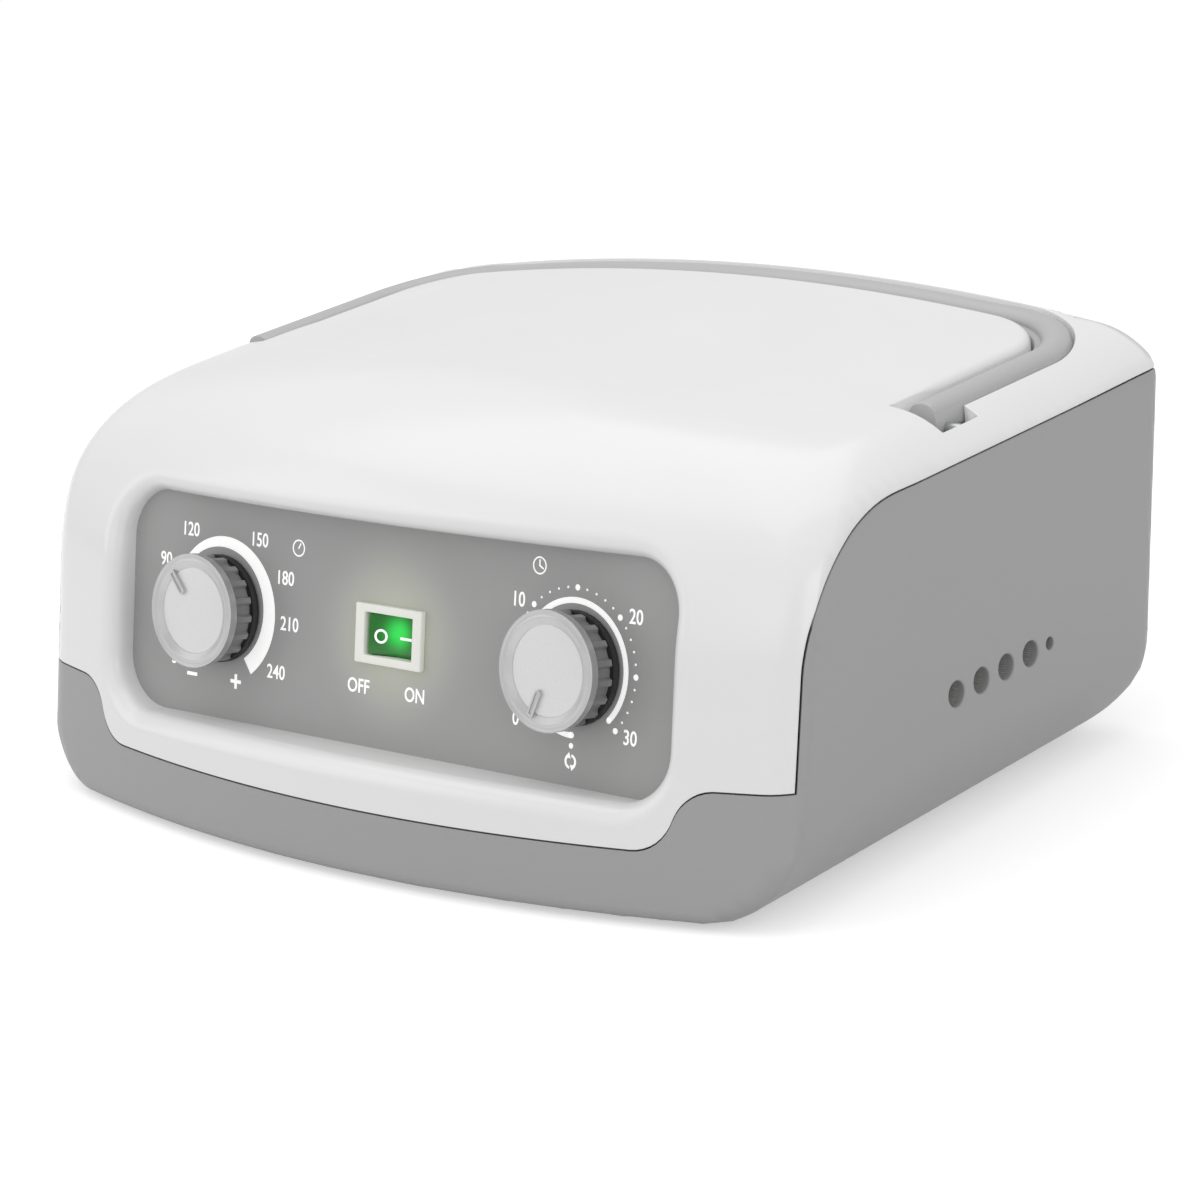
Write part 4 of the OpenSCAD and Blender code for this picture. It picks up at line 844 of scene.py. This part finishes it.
def pick(mesh, test):
    """Select the faces for which the test holds, in edit mode."""
    bpy.ops.mesh.select_mode(type="FACE")
    bpy.ops.mesh.select_all(action="DESELECT")
    mode("OBJECT")
    for face in mesh.polygons:
        face.select = bool(test(face.center, face.normal))
    mode("EDIT")


def step(z):
    """Extrude the picked face up by z."""
    bpy.ops.mesh.extrude_region_move(TRANSFORM_OT_translate={"value": (0, 0, z * MM)})


def inset(by, deep=0.0):
    """Inset the picked faces and move them outwards, or inwards where deep is negative."""
    bpy.ops.mesh.inset(thickness=by * MM, depth=deep * MM)


def block(name, size, z, x=0.0):
    """A box to shape, by its size and the height and place of its middle, in edit mode."""
    deselect()
    bpy.ops.mesh.primitive_cube_add(size=1)
    made = bpy.context.object
    made.name = name
    grown = Matrix.Diagonal((*(v * MM for v in size), 1))
    made.data.transform(Matrix.Translation((x * MM, 0, z * MM)) @ grown)
    mode("EDIT")
    return made


def softened(made, width, segments, angle=32):
    """Round the sharp edges, apply, and shade smooth up to the same angle."""
    mode("OBJECT")
    edge = made.modifiers.new("edges", "BEVEL")
    edge.width, edge.segments, edge.limit_method = width * MM, segments, "ANGLE"
    edge.angle_limit = radians(angle)
    bpy.ops.object.modifier_apply(modifier="edges")
    bpy.ops.object.shade_smooth_by_angle(angle=radians(angle))


def skirt(name, turn):
    deselect()
    bpy.ops.mesh.primitive_cylinder_add(vertices=2 * rib_count, radius=rib_root * MM,
                                        depth=(skirt_top - foot_top) * MM,
                                        location=(0, 0, (skirt_top + foot_top) / 2 * MM))
    made = bpy.context.object
    made.name = name
    bpy.ops.object.transform_apply(location=True, rotation=False, scale=False)
    mode("EDIT")
    pick(made.data, lambda c, n: abs(n.z) < 0.5
         and int(atan2(c.y, c.x) % (2 * pi) * rib_count / pi) % 2 == 0)
    bpy.ops.mesh.inset(thickness=rib_draw * MM, depth=rib_rise * MM, use_individual=True)
    pick(made.data, lambda c, n: n.z < -0.9 and c.z < (foot_top + 0.01) * MM)
    step(-0.02)
    bpy.ops.transform.resize(value=(foot_r / rib_root, foot_r / rib_root, 1), center_override=(0, 0, 0))
    step(foot_low - foot_top)
    inset(foot_r - recess_r)
    step(recess_top - foot_low)
    inset(recess_r - bore_r)
    step(bore_top - recess_top)
    softened(made, 0.16, 2)
    made.data.transform(Matrix.Rotation(turn, 4, "Z"))
    made.data.materials.append(abs_dark)
    made.data.materials.append(foot_near_black)
    # The foot's faces, below the ribs, take the near-black colour.
    for face in made.data.polygons:
        face.material_index = int(face.center.z < (foot_top + 0.3) * MM and face.normal.z < 0.99
                                  or face.center.z < (foot_top + 0.1) * MM)
    return made


def cap(name, turn):
    deselect()
    bpy.ops.mesh.primitive_cylinder_add(vertices=128, radius=cap_r * MM, depth=(cap_top - skirt_top) * MM,
                                        location=(0, 0, (cap_top + skirt_top) / 2 * MM))
    made = bpy.context.object
    made.name = name
    bpy.ops.object.transform_apply(location=True, rotation=False, scale=False)
    mode("EDIT")
    pick(made.data, lambda c, n: n.z > 0.9)
    inset(0.5)
    inset(0.25, -0.25)
    inset(cap_r - rim_in - 1.2)
    inset(0.45, 0.2)
    inset(0.35)
    inset(rim_in - disc_r - 0.1, -(disc_deep + 0.15))
    inset(0.3, 0.2)
    softened(made, 0.1, 2, 20)
    low, high, long = cap_top - disc_deep - 0.2, cap_top - 0.08, disc_r + 0.9 - pointer_in
    bar = block("pointer", (long, pointer_w, high - low), (low + high) / 2, pointer_in + long / 2)
    bpy.ops.mesh.select_mode(type="EDGE")
    bpy.ops.mesh.select_all(action="DESELECT")
    mode("OBJECT")
    for edge in bar.data.edges:
        a, b = (bar.data.vertices[i].co for i in edge.vertices)
        edge.select = (a - b).xy.length < 1e-6 and a.x < (pointer_in + 0.1) * MM
    mode("EDIT")
    bpy.ops.mesh.bevel(offset=pointer_w * 0.46 * MM, segments=6)
    pick(bar.data, lambda c, n: n.z > 0.9)
    inset(0.55)
    step(-0.4)
    softened(bar, 0.1, 2)
    made = joined([made, bar])
    made.data.transform(Matrix.Rotation(turn, 4, "Z"))
    made.data.materials.append(turned)
    made.data.materials.append(blasted)
    for face in made.data.polygons:
        reach = face.center.xy.length
        face.material_index = int(reach < (disc_r - 0.5) * MM and face.center.z < (cap_top - 0.7) * MM)
    return made


for control, side, aim in (("pressure", -1, 130.5), ("timer", 1, 248)):
    place = on_panel @ Matrix.Translation((side * knob_at * MM, 0, 0))
    for made, node, finish in ((skirt(control + "_skirt", radians(aim)), "_knob", "knob_plastic"),
                               (cap(control + "_cap", radians(aim)), "_knob_cap", "knob_metal")):
        made.data.transform(place)
        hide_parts(control + node)
        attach(made, control + "_dial")

# ----------------------------------------
# Switch: a frame moulded in off-white nylon with a pocket, and a rocker in clear
# green polycarbonate, lit from behind and printed with both signs.

# Moulded nylon: off white, warm and slightly waxy.
nylon = surface("nylon_off_white", "#F0F0E8", "#F4F4EE", (0.3, 0.4), dict(Scale=300.0, Detail=3.0), IOR=1.53)

# Clear green polycarbonate: dark at its edges and bright where the lamp stands behind it.
lens_green, tree = new_material("polycarbonate_green_lit")
coords = add(tree, "TexCoord")
swirl = add(tree, "TexNoise", Vector=(coords, "Object"), Scale=160.0, Detail=3.0)
tint = add(tree, "Mix", {"data_type": "RGBA"}, i0=(swirl, "Fac"), i6=linear("#056A12"), i7=linear("#087418"))
lit = distance_from(tree, coords, tuple(on_panel @ Vector((0.0014, 0.0008, -0.001))), 0.0088)
ramp = add(tree, "Mix", {"data_type": "RGBA"}, i0=(lit, 0), i6=linear("#00660A"), i7=linear("#2BE45A"))
power = add(tree, "MapRange", Value=(lit, 0), To_Min=0.06, To_Max=0.8)
lens = add(tree, "BsdfPrincipled", Base_Color=(tint, 2), Roughness=0.12, IOR=1.58,
           Emission_Color=(ramp, 2), Emission_Strength=(power, 0))
add(tree, "OutputMaterial", Surface=(lens, 0))

frame_w, frame_h, frame_proud, hole_w, hole_h = 24.8, 16.6, 2.0, 18.0, 11.9
back_w, back_h, back_deep, pocket_deep = 21.6, 13.4, 20.0, 10.5
bezel = block("switch_frame", (frame_w, frame_h, frame_proud), frame_proud / 2)
pick(bezel.data, lambda c, n: n.z > 0.9)
step(0)
bpy.ops.transform.resize(value=(hole_w / frame_w, hole_h / frame_h, 1),
                         center_override=(0, 0, frame_proud * MM))
step(-pocket_deep)
pick(bezel.data, lambda c, n: n.z < -0.9)
step(0)
bpy.ops.transform.resize(value=(back_w / frame_w, back_h / frame_h, 1), center_override=(0, 0, 0))
step(-back_deep)
softened(bezel, 0.45, 4)
bezel.data.transform(on_panel)
bezel.data.materials.append(nylon)
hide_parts("switch_body")
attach(bezel, "base")

rocker_half, rocker_high, rocker_rise, rocker_deep, rocker_mid = 8.4, 5.65, 1.6, 2.0, -3.0
tilt = radians(9)
crest = rocker_rise + rocker_half * tan(tilt)
on_pivot = on_panel @ Matrix.Translation((0, 0, rocker_mid * MM)) @ Matrix.Rotation(tilt, 4, "Y")
rocker = block("rocker_lens", (2 * rocker_half, 2 * rocker_high, crest + rocker_deep),
               (crest - rocker_deep) / 2)
bpy.ops.mesh.select_all(action="SELECT")
bpy.ops.mesh.bisect(plane_co=(0, 0, 0), plane_no=(1, 0, 0))
mode("OBJECT")
for vertex in rocker.data.vertices:
    if abs(vertex.co.x) < 1e-6 and vertex.co.z > 0:
        vertex.co.z = rocker_rise * MM
mode("EDIT")
softened(rocker, 0.35, 4, 40)
rocker.data.transform(on_pivot)
rocker.data.materials.append(lens_green)

signs = [film(band(0, 0, np.linspace(0, 359.9, 48), np.full(48, 1.35), np.full(48, 2.0))),
         film([(-2.1, -0.36), (2.1, -0.36), (2.1, 0.36), (-2.1, 0.36)])]
for sign, side, x in zip(signs, (-1, 1), (-4.6, 3.6)):
    slant = Matrix.Rotation(-side * tilt, 4, "Y")
    high = rocker_rise + abs(x) * tan(tilt)
    sign.data.transform(on_pivot @ Matrix.Translation((x * MM, -0.5 * MM, (high + 0.01) * MM)) @ slant)
marks = joined(signs)
marks.name = "rocker_signs"
marks.data.materials.append(print_ink)
outward()
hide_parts("switch_rocker")
for made in (rocker, marks):
    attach(made, "rocker")

# ----------------------------------------
# Carrying handle: a bar moulded in grey polypropylene, half round on top and flat at
# both front ends, which turn on pins in bosses and sink into their groove.

# Moulded polypropylene: a soft pale grey, a little glossier than the casing.
poly_grey = surface("polypropylene_grey", "#B2B2B2", "#B6B6B6", (0.3, 0.4), dict(Scale=24.0, Detail=3.0),
                    dict(Scale=1700.0, Detail=2.0), (0.08, 0.0002), IOR=1.49)

bar_half, bar_deep, bar_rise, ledge, sunk = 5.2, 8.5, 2.9, 0.25, 0.3
crown_at, crown_half = 0.85, 4.1
end_y, pin_y, pin_z, boss_r = 13.5, 18.0, 105.5, 3.8


def bar_section():
    """The bar's section around from the middle of its bottom, as (out, up) below the crest."""
    flat = -bar_rise - 0.25
    return [(0, -bar_deep), (bar_half - 1.0, -bar_deep), (bar_half - 0.3, -bar_deep + 0.3),
            (bar_half, -bar_deep + 1.0), (bar_half, flat), (bar_half - ledge, -bar_rise)] + [
        (crown_at + crown_half * cos(a), -bar_rise + bar_rise * sin(a))
        for a in np.linspace(0.12, pi - 0.12, 24)] + [
        (crown_at - crown_half, flat), (-bar_half + ledge, flat), (-bar_half, flat - ledge),
        (-bar_half, -bar_deep + 1.0), (-bar_half + 0.3, -bar_deep + 0.3), (-bar_half + 1.0, -bar_deep)]


section = bar_section()
path = [(side_x, y, 1.0, 0.0) for y in np.linspace(end_y, bend_y, 16)[:-1]]
path += [(bend_x + bend_r * cos(a), bend_y + bend_r * sin(a), cos(a), sin(a))
         for a in np.linspace(0, pi / 2, 26)]
path += [(x, rear_y, 0.0, 1.0) for x in np.linspace(bend_x, 0, 20)[1:]]
path += [(-x, y, -nx, ny) for x, y, nx, ny in path[-2::-1]]
points, faces, count = [], [], len(section)
for x, y, nx, ny in path:
    proud = float(np.interp(abs(x), [85, 118], [0, 1]))
    crest = crown_mid + sqrt(crown_r ** 2 - x * x) - sunk + 1.1 * proud * proud * (3 - 2 * proud)
    points += [((x + nx * u) * MM, (y + ny * u) * MM, (crest + w) * MM) for u, w in section]
for i in range(len(path) - 1):
    for j in range(count):
        k = (j + 1) % count
        faces.append((i * count + j, (i + 1) * count + j, (i + 1) * count + k, i * count + k))
faces += [tuple(range(count)), tuple(range((len(path) - 1) * count, len(path) * count))[::-1]]
mesh = bpy.data.meshes.new("carry_bar")
mesh.from_pydata(points, [], faces)
bar = joined([show("carry_bar", mesh)])
outward()
softened(bar, 0.2, 2, 50)
for side in (-1, 1):
    bpy.ops.mesh.primitive_cylinder_add(vertices=48, radius=boss_r * MM, depth=2 * (bar_half - 0.2) * MM,
                                        rotation=(0, pi / 2, 0),
                                        location=(side * side_x * MM, pin_y * MM, pin_z * MM))
    bpy.ops.object.transform_apply(location=True, rotation=True, scale=True)
    mode("EDIT")
    boss = bpy.context.object
    softened(boss, 0.4, 2)
    bar = joined([bar, boss])
bar.data.materials.clear()
bar.data.materials.append(poly_grey)
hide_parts("carry_handle")
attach(bar, "handle")

# ----------------------------------------
# Fittings and works: the parts that are carried as built, such as the feet, the inlet,
# the outlet block, the screws and the pump. Each takes the surface of its real material.


def carried(slot, name, dark, light, rough, grain, relief, lines=0.0, **shine):
    """Gives every carried part of a slot its surface. Grain is the noise scale and relief is in
    metres. Lines take the grain's place on wire and stacked sheet: 0.314 over their pitch."""
    fleck = dict(Scale=lines) if lines else dict(Scale=grain, Detail=3.0)
    cloud = dict(Scale=grain / 14, Detail=4.0)
    made = surface(name, dark, light, rough, cloud, fleck, (0.5, relief), **shine)
    for node in nodes.values():
        for place in node.material_slots:
            if place.material and place.material.name.split(".")[0] == slot:
                place.material = made


# Screws, pins, spindles and brackets: steel with a bright zinc coat, smooth and a little
# clouded, so that it gives soft bright lines along every edge.
carried("steel", "steel_zinc_plated", "#B9BCBE", "#CDD0D1", (0.26, 0.38), 900.0, 0.00002, Metallic=1.0)
# Pressure valve, terminals and inlet pins: turned brass, warm and slightly dulled by the air.
carried("brass", "brass_turned", "#B8923F", "#D0AE5C", (0.24, 0.36), 1100.0, 0.00002, Metallic=1.0)
# Inlet, fuse holder, timer case and transformer case: black polyamide with a fine spark-eroded grain.
carried("dark_plastic", "polyamide_black", "#1B1B1C", "#262627", (0.42, 0.56), 2400.0, 0.00006)
# Outlet block, distributor, chambers and connectors: natural polyamide, a slightly waxy off white.
carried("light_plastic", "polyamide_natural", "#D9D6CB", "#E6E3D9", (0.32, 0.44), 1500.0, 0.00004, IOR=1.53)
# Pump body, motor case and capacitor cans: die-cast aluminium, grey, with a blasted skin.
carried("cast_aluminium", "aluminium_die_cast", "#9DA0A3", "#B4B7B9", (0.4, 0.56), 1800.0, 0.00008,
        Metallic=1.0)
# Armature of the pump: stacked sheets of silicon steel 0.5 mm thick, oiled.
carried("iron", "silicon_steel_sheets", "#55575B", "#6F7276", (0.38, 0.5), 700.0, 0.0001, lines=628.0,
        Metallic=1.0)
# Coils: turns of enamelled copper wire 0.6 mm thick, under a clear glossy varnish.
carried("copper", "copper_enamelled_wire", "#8E4A1E", "#B4682F", (0.22, 0.34), 900.0, 0.0002, lines=524.0,
        Metallic=0.9, Coat_Weight=0.4)
# Feet, mounts and membranes: black nitrile rubber, matt, with a bloom on the surface.
carried("black_rubber", "nitrile_rubber_black", "#1A1A1A", "#2A2A29", (0.66, 0.82), 1600.0, 0.00008, IOR=1.52)
# Hoses: soft silicone, milky and satin, drawn through a die.
carried("hose_rubber", "silicone_hose_milky", "#DAD8D2", "#E8E6E0", (0.34, 0.46), 700.0, 0.00004, IOR=1.42)
# Circuit board: glass epoxy under a green lacquer that shows the weave.
carried("board_green", "glass_epoxy_lacquered", "#1E5A33", "#2C7042", (0.24, 0.34), 1300.0, 0.00004,
        Coat_Weight=0.3)
# Air filter: needled polyester felt, soft, with loose fibres and no gloss.
carried("filter_felt", "polyester_felt", "#D2CCBA", "#E4DFD0", (0.88, 0.98), 2600.0, 0.0004)
# Lamp in the switch: a small glass bulb, tinted green by the lens that it lights.
carried("lamp", "lamp_glass_green", "#7CE690", "#97F3A8", (0.06, 0.12), 500.0, 0.00001)
